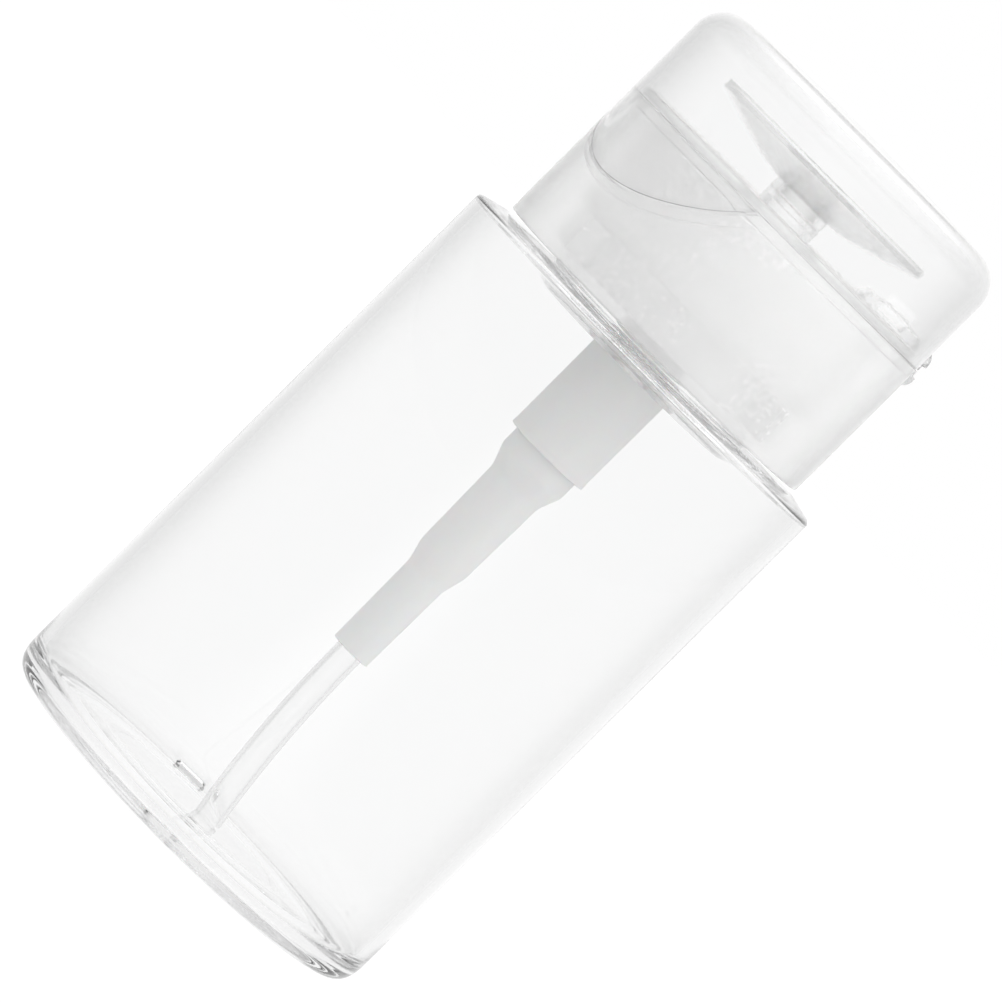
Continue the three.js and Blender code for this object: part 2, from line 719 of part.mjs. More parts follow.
// Plunger: a hollow rod pushed into the stem's foot, with a seat for the outlet ball on top, side ports
// under the piston, a head on the spring and a pin inside it.
function makePlunger() {
  const plug = stemBoreRadius - slideGap;
  const rod = turned([
    [0, headZ - pinLength], [pinRadius, headZ - pinLength], [pinRadius, headZ], [headRadius, headZ],
    [headRadius, rodZ], [rodRadius, rodZ], [rodRadius, stemZ], [plug, stemZ], [plug, plungerTopZ],
    [plungerSeatRadius, plungerTopZ], [rodBoreRadius, plungerTopZ - plungerSeatDepth],
    [rodBoreRadius, rodZ + rodBoreRise], [0, rodZ + rodBoreRise],
  ], midFacets);
  const port = crossPort(rodPortRadius, rodRadius + cutOverrun, rodZ + rodPortRise, 0);
  const otherPort = crossPort(rodPortRadius, rodRadius + cutOverrun, rodZ + rodPortRise, Math.PI);
  return rod.subtract(port).subtract(otherPort);
}

// Piston: a sleeve on the plunger with two lips and a waist between them.
function makePiston() {
  const lip = pistonBoreRadius - slideGap;
  return turned([
    [rodRadius + slideGap, pistonZ], [lip, pistonZ], [lip, pistonZ + pistonLipHeight],
    [lip - pistonWaist, pistonZ + pistonLipHeight + pistonWaist],
    [lip - pistonWaist, pistonTopZ - pistonLipHeight - pistonWaist],
    [lip, pistonTopZ - pistonLipHeight], [lip, pistonTopZ], [rodRadius + slideGap, pistonTopZ],
  ], midFacets);
}

// The height of a ball's middle above the foot of its cone, with a small gap to the cone.
function restingHeight(ballRadius, coneTopRadius, coneFootRadius, coneHeight) {
  const slope = Math.atan2(coneTopRadius - coneFootRadius, coneHeight);
  const tip = coneFootRadius / Math.tan(slope);
  return (ballRadius + ballGap) / Math.sin(slope) - tip;
}

function ball(radius, z) {
  return solid(new THREE.SphereGeometry(radius, smallFacets, smallFacets / 2).rotateX(Math.PI / 2)
    .translate(0, 0, z));
}

const inletBallZ = seatZ + restingHeight(inletBallRadius, cageRadius, throatRadius, seatHeight);
const outletSeatZ = plungerTopZ - plungerSeatDepth;
const outletBallZ = outletSeatZ
  + restingHeight(outletBallRadius, plungerSeatRadius, rodBoreRadius, plungerSeatDepth);
const ballStopZ = outletBallZ + outletBallTravel + ballGap
  + Math.sqrt(outletBallRadius ** 2 - ballStopRadius ** 2);
const insertZ = dishFloorZ + insertStand - insertHeight;

addPiece('bottle', makeBottle(), clearPlastic);
addPiece('dip_tube', makeDipTube(), tubePlastic);
addPiece('neck_gasket', ring(gasketRadius - gasketWidth, gasketRadius, gasketZ, gasketZ + gasketThickness,
  midFacets), sealPlastic);
addPiece('guide_tube', makeGuideTube(), frostedPlastic);
addPiece('stem_seal', makeStemSeal(), sealPlastic);
addPiece('pump_cylinder', makePumpCylinder(), pumpPlastic);
addPiece('inlet_ball', ball(inletBallRadius, inletBallZ), steel);
addPiece('return_spring', helicalSpring(springZ, springTopZ), steel);
addPiece('piston', makePiston(), sealPlastic);
addPiece('plunger', makePlunger(), pumpPlastic);
addPiece('outlet_ball', ball(outletBallRadius, outletBallZ), steel);
addPiece('press_dish', makePressDish(insertZ, ballStopZ), frostedPlastic);
addPiece('outlet_insert', makeOutletInsert(insertZ), pumpPlastic);
addPiece('screw_cap', makeScrewCap(), frostedPlastic);
addPiece('collar_shell', makeCollarShell(), frostedPlastic);
addPiece('living_hinge', makeLivingHinge(), frostedPlastic);
addPiece('flip_lid', makeFlipLid(), frostedPlastic);

export default object;
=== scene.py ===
import math

import bmesh
import bpy
import numpy as np
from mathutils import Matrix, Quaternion, Vector


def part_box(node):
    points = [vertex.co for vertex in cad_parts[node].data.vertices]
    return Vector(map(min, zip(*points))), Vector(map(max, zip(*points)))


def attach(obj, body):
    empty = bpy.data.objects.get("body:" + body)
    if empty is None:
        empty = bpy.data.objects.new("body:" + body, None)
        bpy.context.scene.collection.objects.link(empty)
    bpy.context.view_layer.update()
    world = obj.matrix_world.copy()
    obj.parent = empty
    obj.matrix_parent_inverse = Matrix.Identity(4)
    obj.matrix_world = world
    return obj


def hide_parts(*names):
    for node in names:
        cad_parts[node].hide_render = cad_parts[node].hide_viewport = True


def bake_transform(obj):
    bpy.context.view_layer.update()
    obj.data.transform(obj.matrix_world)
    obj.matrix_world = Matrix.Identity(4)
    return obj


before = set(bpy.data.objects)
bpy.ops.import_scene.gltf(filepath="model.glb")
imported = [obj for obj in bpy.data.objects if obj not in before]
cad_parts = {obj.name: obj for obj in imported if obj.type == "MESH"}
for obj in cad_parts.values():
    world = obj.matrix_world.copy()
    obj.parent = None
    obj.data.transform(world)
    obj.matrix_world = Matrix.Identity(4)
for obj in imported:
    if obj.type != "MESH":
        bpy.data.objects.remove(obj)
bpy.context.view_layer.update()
MM = 0.001

# The photographer's stand: a long lens a little above the middle of the bottle, rolled so that the bottle
# leans over to the right in the picture.
VIEW_AZIMUTH = math.radians(53)
VIEW_ELEVATION = math.radians(3.49)
VIEW_ROLL = math.radians(45.1)
VIEW_DISTANCE = 0.946
AIM = Vector((0, 0, 58.76 * MM))
LENS = 264.1
CLIP_START, CLIP_END = 0.01, 20


def placed(name, data):
    """A new object of the scene."""
    thing = bpy.data.objects.new(name, data)
    bpy.context.scene.collection.objects.link(thing)
    return thing


def aimed(name, data, place, towards):
    """A camera or a lamp at a place, turned to look in a direction."""
    thing = placed(name, data)
    thing.location = place
    thing.rotation_mode = "QUATERNION"
    thing.rotation_quaternion = towards.to_track_quat("-Z", "Y")
    return thing


backwards = Vector((
    math.sin(VIEW_AZIMUTH) * math.cos(VIEW_ELEVATION),
    -math.cos(VIEW_AZIMUTH) * math.cos(VIEW_ELEVATION),
    math.sin(VIEW_ELEVATION),
))
stand = aimed("photographer", bpy.data.cameras.new("photographer"), AIM + backwards * VIEW_DISTANCE,
              -backwards)
stand.rotation_quaternion @= Quaternion((0, 0, 1), VIEW_ROLL)
stand.data.lens = LENS
stand.data.clip_start, stand.data.clip_end = CLIP_START, CLIP_END
bpy.context.scene.camera = stand
bpy.context.scene.view_settings.view_transform = "Standard"

# The room: a white sweep all round, brighter overhead and dimmer to the picture's left and right, a pale
# table and two broad soft lamps, the stronger one on the picture's right. The table keeps a faint shadow.
ROOM_LEVEL = 1.2
OVERHEAD_LEVEL = 1.35
LEFT_LEVEL = 0.76
RIGHT_LEVEL = 0.9
OVERHEAD_SPREAD = (0.3, 0.95)
SIDE_SPREAD = (0.1, 0.5)
TABLE_RADIUS = 3.0
TABLE_SIDES = 64
NEAR_TABLE = 0.08
TABLE_DROP = 0.05 * MM
TABLE_GLOW = 0.92
TABLE_WHITE = 1.06
TABLE_COLOUR = (0.9, 0.9, 0.9, 1)
LAMP_REACH = 0.9
LAMP_SIZE = 1.2
LAMPS = (  # name, azimuth, height and watts
    ("window_lamp", math.radians(115), 0.3, 2.2),
    ("fill_lamp", math.radians(-35), 0.25, 1.3),
)


def put(tree, socket, value):
    """Gives a socket of a node tree a plain value, or wires it to another node's output."""
    if isinstance(value, bpy.types.NodeSocket):
        tree.links.new(value, socket)
    else:
        socket.default_value = value


def fill(tree, node, *inputs, **named):
    """Fills a node's first inputs with values or wires, and then the inputs of the given names."""
    for place, value in enumerate(inputs):
        put(tree, node.inputs[place], value)
    for name, value in named.items():
        put(tree, node.inputs[name.replace("_", " ")], value)
    return node


def add_node(tree, kind, *inputs, **values):
    """A new node. A name with a capital is one of its inputs, and any other is one of its plain settings."""
    node = tree.nodes.new("ShaderNode" + kind)
    for name in [name for name in values if name[0].islower()]:
        setattr(node, name, values.pop(name))
    return fill(tree, node, *inputs, **values)


def number(tree, operation, *inputs):
    """What a math node works out from its inputs."""
    return add_node(tree, "Math", *inputs, operation=operation).outputs[0]


def ramp(tree, value, start, end, before=0.0, after=1.0, kind="SMOOTHSTEP"):
    """A value that stays at one level up to the start, at another from the end on, and changes between."""
    return add_node(tree, "MapRange", value, interpolation_type=kind, From_Min=start, From_Max=end,
                    To_Min=before, To_Max=after).outputs[0]


def mixed(tree, share, first, second, kind="RGBA"):
    """The mix of two colours, or with the kind FLOAT of two numbers, by a share."""
    node = add_node(tree, "Mix", data_type=kind)
    start, result = {"RGBA": (6, 2), "FLOAT": (2, 0)}[kind]
    for socket, value in ((0, share), (start, first), (start + 1, second)):
        put(tree, node.inputs[socket], value)
    return node.outputs[result]


def all_round(count, *extra):
    """Even azimuths all the way round, in order, with any extra ones set in among them."""
    return np.unique(np.concatenate([np.linspace(0, 2 * np.pi, count, endpoint=False), *extra]))


def seen_ray(tree):
    """1 for rays that show a surface to the eye, straight, in gloss or through glass, and 0 for others."""
    path = add_node(tree, "LightPath").outputs
    by_eye = path["Is Camera Ray"]
    in_gloss = number(tree, "MAXIMUM", by_eye, path["Is Glossy Ray"])
    return number(tree, "MAXIMUM", in_gloss, path["Is Transmission Ray"]), by_eye


def side_levels(tree, towards):
    """The room's level in a direction: 1 ahead and behind, dimmer to the picture's left and right."""
    levels = []
    for side, side_level in ((-1, LEFT_LEVEL), (1, RIGHT_LEVEL)):
        aside = (side * math.cos(VIEW_AZIMUTH), side * math.sin(VIEW_AZIMUTH), 0)
        share = add_node(tree, "VectorMath", towards, aside, operation="DOT_PRODUCT").outputs["Value"]
        levels.append(ramp(tree, share, *SIDE_SPREAD, 1.0, side_level))
    return number(tree, "MULTIPLY", *levels)


room = bpy.data.worlds.new("white_room")
room.use_nodes = True
bpy.context.scene.world = room
tree = room.node_tree
tree.nodes.clear()
seen, by_eye = seen_ray(tree)
towards = add_node(tree, "TexCoord").outputs["Generated"]
height = add_node(tree, "SeparateXYZ", towards).outputs["Z"]
overhead = ramp(tree, height, *OVERHEAD_SPREAD, 1.0, OVERHEAD_LEVEL)
level = number(tree, "MULTIPLY", overhead, side_levels(tree, towards))
soft_level = number(tree, "MULTIPLY", level, ROOM_LEVEL)
white, reflected, soft = (add_node(tree, "Background", (1, 1, 1, 1), strength).outputs[0]
                          for strength in (1.0, level, soft_level))
shown = add_node(tree, "MixShader", by_eye, reflected, white)
either = add_node(tree, "MixShader", seen, soft, shown.outputs[0])
add_node(tree, "OutputWorld", either.outputs[0])

turn = all_round(TABLE_SIDES)
table_points = np.stack([TABLE_RADIUS * np.cos(turn), TABLE_RADIUS * np.sin(turn), 0 * turn - TABLE_DROP], -1)
table_mesh = bpy.data.meshes.new("table")
table_mesh.from_pydata(table_points.tolist(), [], [list(range(TABLE_SIDES))])
table = placed("table", table_mesh)

table_finish = bpy.data.materials.new("pale_table")
table_finish.use_nodes = True
tree = table_finish.node_tree
tree.nodes.clear()
seen, by_eye = seen_ray(tree)
matte = add_node(tree, "BsdfDiffuse", TABLE_COLOUR).outputs[0]
place = add_node(tree, "NewGeometry").outputs["Position"]
distance = add_node(tree, "VectorMath", place, operation="LENGTH").outputs["Value"]
nearness = number(tree, "DIVIDE", 1.0, number(tree, "ADD", distance, NEAR_TABLE))
from_object = add_node(tree, "VectorMath", place, operation="SCALE", Scale=nearness).outputs[0]
kept_white = mixed(tree, by_eye, side_levels(tree, from_object), 1.0, "FLOAT")
glow = add_node(tree, "Emission", Strength=number(tree, "MULTIPLY", kept_white, TABLE_WHITE)).outputs[0]
both = add_node(tree, "MixShader", number(tree, "MULTIPLY", seen, TABLE_GLOW), matte, glow)
add_node(tree, "OutputMaterial", both.outputs[0])
table_mesh.materials.append(table_finish)

for name, azimuth, height, watts in LAMPS:
    light = bpy.data.lights.new(name, "AREA")
    light.shape, light.size, light.energy = "DISK", LAMP_SIZE, watts
    place = Vector((LAMP_REACH * math.sin(azimuth), -LAMP_REACH * math.cos(azimuth), height))
    lamp = aimed(name, light, place, AIM - place)
    lamp.visible_camera = lamp.visible_transmission = lamp.visible_glossy = False

# Light crosses many clear or frosted walls on its way in and out, and turns back inside the thick edges.
for kind, count in (("max", 80), ("transmission", 64), ("glossy", 64), ("diffuse", 12),
                    ("transparent_max", 32)):
    setattr(bpy.context.scene.cycles, kind + "_bounces", count)

# Bottle: blown in clear polyester, with a stepped push-up under the floor, a notch in the heel that sets
# its turn when it is decorated, and a moulded neck with a screw thread. It is one piece.
BOTTLE_WALL = 1.5
HEEL = 2.6
HEEL_HEIGHT = 4.0
INNER_HEEL = 4.6
HEEL_ROWS = 24
HEEL_RISE = 9.0
STAND_RING_WIDTH = 1.2
STAND_RING_SLOPE = 2.4
PUSH_UP = 0.6
FLOOR_RING_STEP = 0.25
FLOOR_RINGS = (21.5, 14.0)
RING_SLOPE = 1.2
FLOOR_WALL = 1.2
FLOOR_SAG = 0.3
SHOULDER_RISE = 1.0
SHOULDER_EDGE = 0.7
SHOULDER_SLOPE_WIDTH = 4.0
SHOULDER_WALL = 2.5
SHOULDER_THINNING = 1.0
NECK_HEIGHT = 14.2
NECK_RADIUS = 17.0
NECK_WALL = 1.6
NECK_FILLET = 0.9
LIP_DEPTH = 0.9
LIP_EDGE = 0.5
LIP_ROOT = 2.7
THREAD_PITCH = 3.18
THREAD_DEPTH = 1.0
THREAD_ROOT = 1.5
THREAD_CREST = 0.7
NECK_THREAD_RISE = 4.2
NECK_THREAD_TURNS = 1.6
NOTCH_AZIMUTH = math.radians(150)
NOTCH_HALF_WIDTH = 2.6
NOTCH_HALF_TOP = 2.05
NOTCH_HEIGHT = 1.7
NOTCH_START = 25.6
NOTCH_FULL = 28.2
ROUND_COLUMNS = 192
BOTTLE_COLUMNS = 320
ROW_GAP = 0.14
CLEAR_IOR = 1.57
# Painted shade in the bottle's thick heel, and darker still in the notch: a grey mixed into the colour by a
# painted point attribute.
HEEL_SHADE = (0.4, 0.401, 0.401, 1)
HEEL_SHADE_SHARE = 0.22
HEEL_SHADE_TOP = 3.4
HEEL_SHADE_FADE = 1.6
HEEL_SHADE_START = 1.7
HEEL_SHADE_SPREAD = 2.5
NOTCH_SHADE_MARGINS = (0.1, 0.01, 0.05)
# Plain white laid over the finish, and the spans where it takes the painted edge shade off:
WHITE_NO_PAINTED_SHADE = (1, 1, 1, 1)
FLOOR_SHADE_LIFT = np.array([0.9, 0.4])
SHOULDER_SHADE_LIFT_HEIGHT = np.array([-1.0, -0.3])
SHOULDER_SHADE_LIFT_RADIUS = np.array([-2.0, -0.7])
THREAD_FADE = 0.12
MOST_CUT = 0.48
TINY = 1e-5
SHARP_ANGLE = math.radians(32)
NOISE_SPREAD = (0.3, 0.7)
PLASTIC_IOR = 1.49
GLOSS_COVERS = (0.82, 0.96)
LAMP_SHARE = (0.96, 0.96, 0.96, 1)
LOSS_TINT = (0.5, 0.5, 0.5, 1)
LOSS_DENSITY = 2.0


def box_mm(node):
    """The low and the high corner of a CAD node's box, in millimetres."""
    return [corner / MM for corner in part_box(node)]


def eased(corners, cuts, steps=7):
    """An outline of (r, z) corners with each corner rounded off.

    Corner P becomes (1-s)^2 A + 2s(1-s) P + s^2 B for s from 0 to 1, where A and B lie on the corner's two
    edges at its cut length from P, which is at most a share of the shorter edge."""
    corners = np.asarray(corners, float)
    edges = [np.roll(corners, way, axis=0) - corners for way in (1, -1)]
    lengths = [np.linalg.norm(edge, axis=1) for edge in edges]
    cut = np.minimum(np.asarray(cuts, float), MOST_CUT * np.minimum(*lengths))
    a, b = ((corners + edge * (cut / length)[:, None])[:, None] for edge, length in zip(edges, lengths))
    s = np.linspace(0, 1, steps)[None, :, None]
    points = ((1 - s) ** 2 * a + 2 * s * (1 - s) * corners[:, None] + s ** 2 * b).reshape(-1, 2)
    return points[np.linalg.norm(points - np.roll(points, 1, axis=0), axis=1) > TINY]


def level_rows(start, end):
    """Points on the straight line from start to end, both included, at most a row's gap apart."""
    start, end = np.asarray(start, float), np.asarray(end, float)
    count = int(np.ceil(np.linalg.norm(end - start) / ROW_GAP)) + 1
    return start + (end - start) * np.linspace(0, 1, count)[:, None]


def mesh_piece(name, grid, ends, finish):
    """An object with a skin over a grid of points in millimetres, turned to face outwards.

    Each row of the grid closes on itself. The first and last rows are closed by fans to two end points, or
    else joined to each other. The sum of a . (b x c) over the skin's triangles is six times the volume, and
    is below zero where they face in."""
    points = grid.reshape(-1, 3)
    ids = np.arange(len(points)).reshape(grid.shape[:2])
    beside = np.roll(ids, -1, axis=1)
    faces = [np.stack([ids[:-1], beside[:-1], beside[1:], ids[1:]], -1).reshape(-1, 4)]
    if ends is None:
        faces.append(np.stack([ids[-1], beside[-1], beside[0], ids[0]], -1))
    else:
        faces.append(np.stack([np.full_like(ids[0], ids.size), beside[0], ids[0]], -1))
        faces.append(np.stack([np.full_like(ids[0], ids.size + 1), ids[-1], beside[-1]], -1))
        points = np.vstack([points, ends])
    corners = [points[group] for group in faces]
    volume = sum(np.einsum("ij,ij->", group[:, 0], np.cross(group[:, k], group[:, k + 1]))
                 for group in corners for k in range(1, group.shape[1] - 1))
    if volume < 0:
        faces = [group[:, ::-1] for group in faces]
    mesh = bpy.data.meshes.new(name)
    mesh.from_pydata((points * MM).tolist(), [], [face for group in faces for face in group.tolist()])
    mesh.polygons.foreach_set("use_smooth", np.ones(len(mesh.polygons), bool))
    mesh.set_sharp_from_angle(angle=SHARP_ANGLE)
    mesh.materials.append(finish)
    return placed(name, mesh)


def turned(name, profile, finish, columns=ROUND_COLUMNS, shape=None):
    """A closed round piece: profile point (r, z) at azimuth a lies at (r cos a, r sin a, z).

    A profile whose ends are on the axis closes there in one point each, and any other closes on itself.
    columns is a number of azimuths or an array of them. shape(r, z, a) moves the grid before it is turned."""
    azimuths = all_round(columns) if np.isscalar(columns) else columns
    profile, ends = np.asarray(profile, float), None
    if max(profile[0, 0], profile[-1, 0]) < TINY:
        ends = [[0, 0, profile[0, 1]], [0, 0, profile[-1, 1]]]
        profile = profile[1:-1]
    r, z = (np.repeat(profile[:, k:k + 1], len(azimuths), axis=1) for k in (0, 1))
    a = np.broadcast_to(azimuths, r.shape)
    if shape is not None:
        r, z = shape(r, z, a)
    return mesh_piece(name, np.stack([r * np.cos(a), r * np.sin(a), z], -1), ends, finish)


def thread_height(z, a, start, turns):
    """How far a screw thread stands out at height z and azimuth a: a trapezoid across, fading at its ends.

    Its middle climbs one pitch a turn from start, so turn k passes azimuth a at start + pitch (a/2pi + k)."""
    height = np.zeros_like(z)
    for whole in range(int(np.ceil(turns)) + 1):
        along = a / (2 * np.pi) + whole
        across = np.abs(z - start - THREAD_PITCH * along)
        ridge = np.clip((THREAD_ROOT / 2 - across) / ((THREAD_ROOT - THREAD_CREST) / 2), 0, 1)
        fade = np.clip(np.minimum(along, turns - along) / (THREAD_FADE * turns), 0, 1)
        height = np.maximum(height, THREAD_DEPTH * ridge * fade)
    return height


def surface_group():
    """The fine surface of a moulded plastic, for every finish: a grain, a slow cloud and both as a bump."""
    group = bpy.data.node_groups.new("moulded_surface", "ShaderNodeTree")
    for way, kind, sockets in (
        ("INPUT", "NodeSocketVector", ["Vector"]),
        ("INPUT", "NodeSocketFloat", ["Grain Scale", "Cloud Scale", "Smooth", "Rough", "Grain Share"]),
        ("OUTPUT", "NodeSocketFloat", ["Cloud", "Roughness", "Height"]),
    ):
        for socket in sockets:
            group.interface.new_socket(socket, in_out=way, socket_type=kind)
    given = group.nodes.new("NodeGroupInput").outputs
    grain, cloud = (
        add_node(group, "TexNoise", Vector=given["Vector"], Scale=given[scale], Detail=detail,
                 Roughness=roughness).outputs[0]
        for scale, detail, roughness in (("Grain Scale", 3.0, 0.6), ("Cloud Scale", 2.0, 0.5)))
    both = mixed(group, given["Grain Share"], cloud, grain, "FLOAT")
    gloss = ramp(group, both, *NOISE_SPREAD, given["Smooth"], given["Rough"], "LINEAR")
    fill(group, group.nodes.new("NodeGroupOutput"), Cloud=cloud, Roughness=gloss, Height=both)
    return group


moulded_surface = surface_group()


def plastic(name, pale, deep, smooth, rough, grain=1500.0, cloud=120.0, bump=0.01, grain_share=0.5,
            ior=PLASTIC_IOR, **further):
    """An opaque moulded plastic whose colour drifts between two near tones, with a fine grain as its bump, in
    millimetres. Any further values are inputs of its shader."""
    finish = bpy.data.materials.new(name)
    finish.use_nodes = True
    tree = finish.node_tree
    place = add_node(tree, "TexCoord").outputs["Object"]
    surface = add_node(tree, "Group", node_tree=moulded_surface, Vector=place, Grain_Scale=grain,
                       Cloud_Scale=cloud, Smooth=smooth, Rough=rough, Grain_Share=grain_share).outputs
    relief = add_node(tree, "Bump", Distance=bump * MM, Strength=1.0, Height=surface["Height"]).outputs[0]
    fill(tree, tree.nodes["Principled BSDF"], Base_Color=mixed(tree, surface["Cloud"], pale, deep),
         Roughness=surface["Roughness"], Normal=relief, IOR=ior, **further)
    return finish


def tint_where(material, tint, share):
    """Mixes a tint over a finish's colour by a share, which is a socket of its tree."""
    tree = material.node_tree
    colour = tree.nodes["Principled BSDF"].inputs["Base Color"]
    put(tree, colour, mixed(tree, share, colour.links[0].from_socket, tint))


def see_through(name, pale, deep, edge, smooth, rough, edge_shade_start=0.5, edge_shade_end=0.8, transmission=1.0,
                **surface):
    """A clear or frosted plastic: glass with a painted edge shade, its edge colour mixed into the base colour
    where the wall is crossed at a slant, until the surface's own gloss covers it. It loses a little of the
    light inside it, and lets the lamps' light straight through to what lies behind it."""
    material = plastic(name, pale, deep, smooth, rough, **surface)
    tree = material.node_tree
    facing = add_node(tree, "LayerWeight", Blend=0.5).outputs["Facing"]
    uncovered = ramp(tree, facing, *GLOSS_COVERS, 1.0, 0.0)
    # Painted edge shade: the colour darkens to the edge colour where the wall is crossed at a slant.
    tint_where(material, edge, number(tree, "MULTIPLY", ramp(tree, facing, edge_shade_start, edge_shade_end), uncovered))
    shader = fill(tree, tree.nodes["Principled BSDF"], Transmission_Weight=transmission).outputs[0]
    open_way = add_node(tree, "BsdfTransparent", LAMP_SHARE).outputs[0]
    by_lamp = add_node(tree, "LightPath").outputs["Is Shadow Ray"]
    fill(tree, tree.nodes["Material Output"],
         Surface=add_node(tree, "MixShader", by_lamp, shader, open_way).outputs[0],
         Volume=add_node(tree, "VolumeAbsorption", LOSS_TINT, LOSS_DENSITY).outputs[0])
    return material


def tint_between(material, tint, *spans):
    """Mixes a tint over a finish's colour where all the spans hold: each goes from none to full between two
    heights ("Z"), or two distances from the axis ("R"), given in millimetres."""
    tree, share = material.node_tree, 1.0
    for measure, (start, end) in spans:
        measured = add_node(tree, "TexCoord").outputs["Object"]
        if measure == "Z":
            measured = add_node(tree, "SeparateXYZ", measured).outputs["Z"]
        else:
            measured = add_node(tree, "VectorMath", measured, (1, 1, 0), operation="MULTIPLY").outputs[0]
            measured = add_node(tree, "VectorMath", measured, operation="LENGTH").outputs["Value"]
        share = number(tree, "MULTIPLY", share, ramp(tree, measured, start * MM, end * MM, kind="LINEAR"))
    tint_where(material, tint, share)


low, high = box_mm("bottle")
bottle_radius, neck_top = high.x, high.z
shoulder_top = neck_top - NECK_HEIGHT
side_top = shoulder_top - SHOULDER_RISE
stand_outer = bottle_radius - HEEL
stand_inner = stand_outer - STAND_RING_WIDTH
first_step = PUSH_UP + FLOOR_RING_STEP
floor_centre = first_step + 2 * FLOOR_RING_STEP
inner_radius = bottle_radius - BOTTLE_WALL
inner_floor = first_step + FLOOR_WALL
under_shoulder = shoulder_top - SHOULDER_WALL
neck_bore = NECK_RADIUS - NECK_WALL
thread_foot = shoulder_top + NECK_THREAD_RISE
thread_end = thread_foot + NECK_THREAD_TURNS * THREAD_PITCH
underside = eased([
    (0, floor_centre), (FLOOR_RINGS[1], floor_centre),
    (FLOOR_RINGS[1] + RING_SLOPE, floor_centre - FLOOR_RING_STEP),
    (FLOOR_RINGS[0], floor_centre - FLOOR_RING_STEP), (FLOOR_RINGS[0] + RING_SLOPE, first_step),
    (stand_inner - STAND_RING_SLOPE, PUSH_UP), (stand_inner, 0), (stand_outer, 0),
], [0, 0.6, 0.6, 0.5, 0.5, 1.2, 0.9, 0], steps=9)
s = np.linspace(0, 1, HEEL_ROWS)[1:, None]
heel = ((1 - s) ** 2 * [stand_outer, 0] + 2 * s * (1 - s) * [bottle_radius, 0]
        + s ** 2 * [bottle_radius, HEEL_HEIGHT])
underside = np.vstack([underside, heel])
outside = eased([
    (bottle_radius, 3 * HEEL), (bottle_radius, side_top),
    (bottle_radius - SHOULDER_SLOPE_WIDTH, shoulder_top), (NECK_RADIUS, shoulder_top),
    (NECK_RADIUS, thread_foot - THREAD_ROOT),
], [0, SHOULDER_EDGE, 0.6, NECK_FILLET, 0], steps=9)
inside = eased([
    (NECK_RADIUS, thread_end + THREAD_ROOT), (NECK_RADIUS, neck_top), (neck_bore, neck_top),
    (neck_bore, under_shoulder - LIP_DEPTH), (neck_bore + LIP_EDGE, under_shoulder - LIP_DEPTH),
    (neck_bore + LIP_ROOT, under_shoulder), (inner_radius, under_shoulder + SHOULDER_THINNING),
    (inner_radius, HEEL_RISE), (inner_radius, inner_floor - FLOOR_SAG),
    (FLOOR_RINGS[1], floor_centre + FLOOR_WALL), (0, floor_centre + FLOOR_WALL),
], [0, 0.4, 0.3, 0.2, 0.4, 1.0, 0.35, 0.3, INNER_HEEL, 6.0, 0], steps=12)
threaded = level_rows((NECK_RADIUS, thread_foot - THREAD_ROOT + ROW_GAP),
                      (NECK_RADIUS, thread_end + THREAD_ROOT - ROW_GAP))
notch_sides = np.array([-NOTCH_HALF_WIDTH, NOTCH_HALF_WIDTH, -NOTCH_HALF_TOP, NOTCH_HALF_TOP])
bottle_columns = all_round(BOTTLE_COLUMNS, NOTCH_AZIMUTH + notch_sides / stand_outer)


def bottle_shape(r, z, a):
    """The neck grows by its thread's height, and under the heel z rises to the notch's roof: a trapezoid
    across, and a slope from the notch's start inwards to its full height outwards."""
    on_neck = np.isclose(r, NECK_RADIUS) & (z > shoulder_top + NECK_FILLET)
    r = r + np.where(on_neck, thread_height(z, a, thread_foot, NECK_THREAD_TURNS), 0)
    across = np.abs(a - NOTCH_AZIMUTH) * stand_outer
    roof = NOTCH_HEIGHT * np.clip((NOTCH_HALF_WIDTH - across) / (NOTCH_HALF_WIDTH - NOTCH_HALF_TOP), 0, 1)
    roof = roof * np.clip((r - NOTCH_START) / (NOTCH_FULL - NOTCH_START), 0, 1)
    return r, np.where(z < NOTCH_HEIGHT, np.maximum(z, roof), z)


# Its third colour is a painted edge shade.
clear_plastic = see_through(
    "clear_bottle_plastic", (0.955, 0.956, 0.956, 1), (0.95, 0.951, 0.951, 1), (0.84, 0.842, 0.842, 1),
    0.0, 0.02, 0.4, 0.85, grain=700.0, cloud=45.0, bump=0.004, grain_share=0.04, ior=CLEAR_IOR)
# Over the floor and round the shoulder's outer edge the colour is lifted to plain white, with no painted edge
# shade.
tint_between(clear_plastic, WHITE_NO_PAINTED_SHADE, ("Z", inner_floor + FLOOR_SHADE_LIFT))
tint_between(clear_plastic, WHITE_NO_PAINTED_SHADE, ("Z", side_top + SHOULDER_SHADE_LIFT_HEIGHT),
             ("R", inner_radius + SHOULDER_SHADE_LIFT_RADIUS))
# Painted shade: the heel and the notch darken towards the grey by the painted point attribute "heel".
heel_shade_mark = add_node(clear_plastic.node_tree, "Attribute", attribute_name="heel")
tint_where(clear_plastic, HEEL_SHADE, heel_shade_mark.outputs["Fac"])
bottle = turned("bottle_clear", np.vstack([underside, outside, threaded, inside]), clear_plastic,
                columns=bottle_columns, shape=bottle_shape)
corners = np.empty(3 * len(bottle.data.vertices))
bottle.data.vertices.foreach_get("co", corners)
x, y, z = (corners.reshape(-1, 3) / MM).T
along = x * math.cos(NOTCH_AZIMUTH) + y * math.sin(NOTCH_AZIMUTH)
across = y * math.cos(NOTCH_AZIMUTH) - x * math.sin(NOTCH_AZIMUTH)
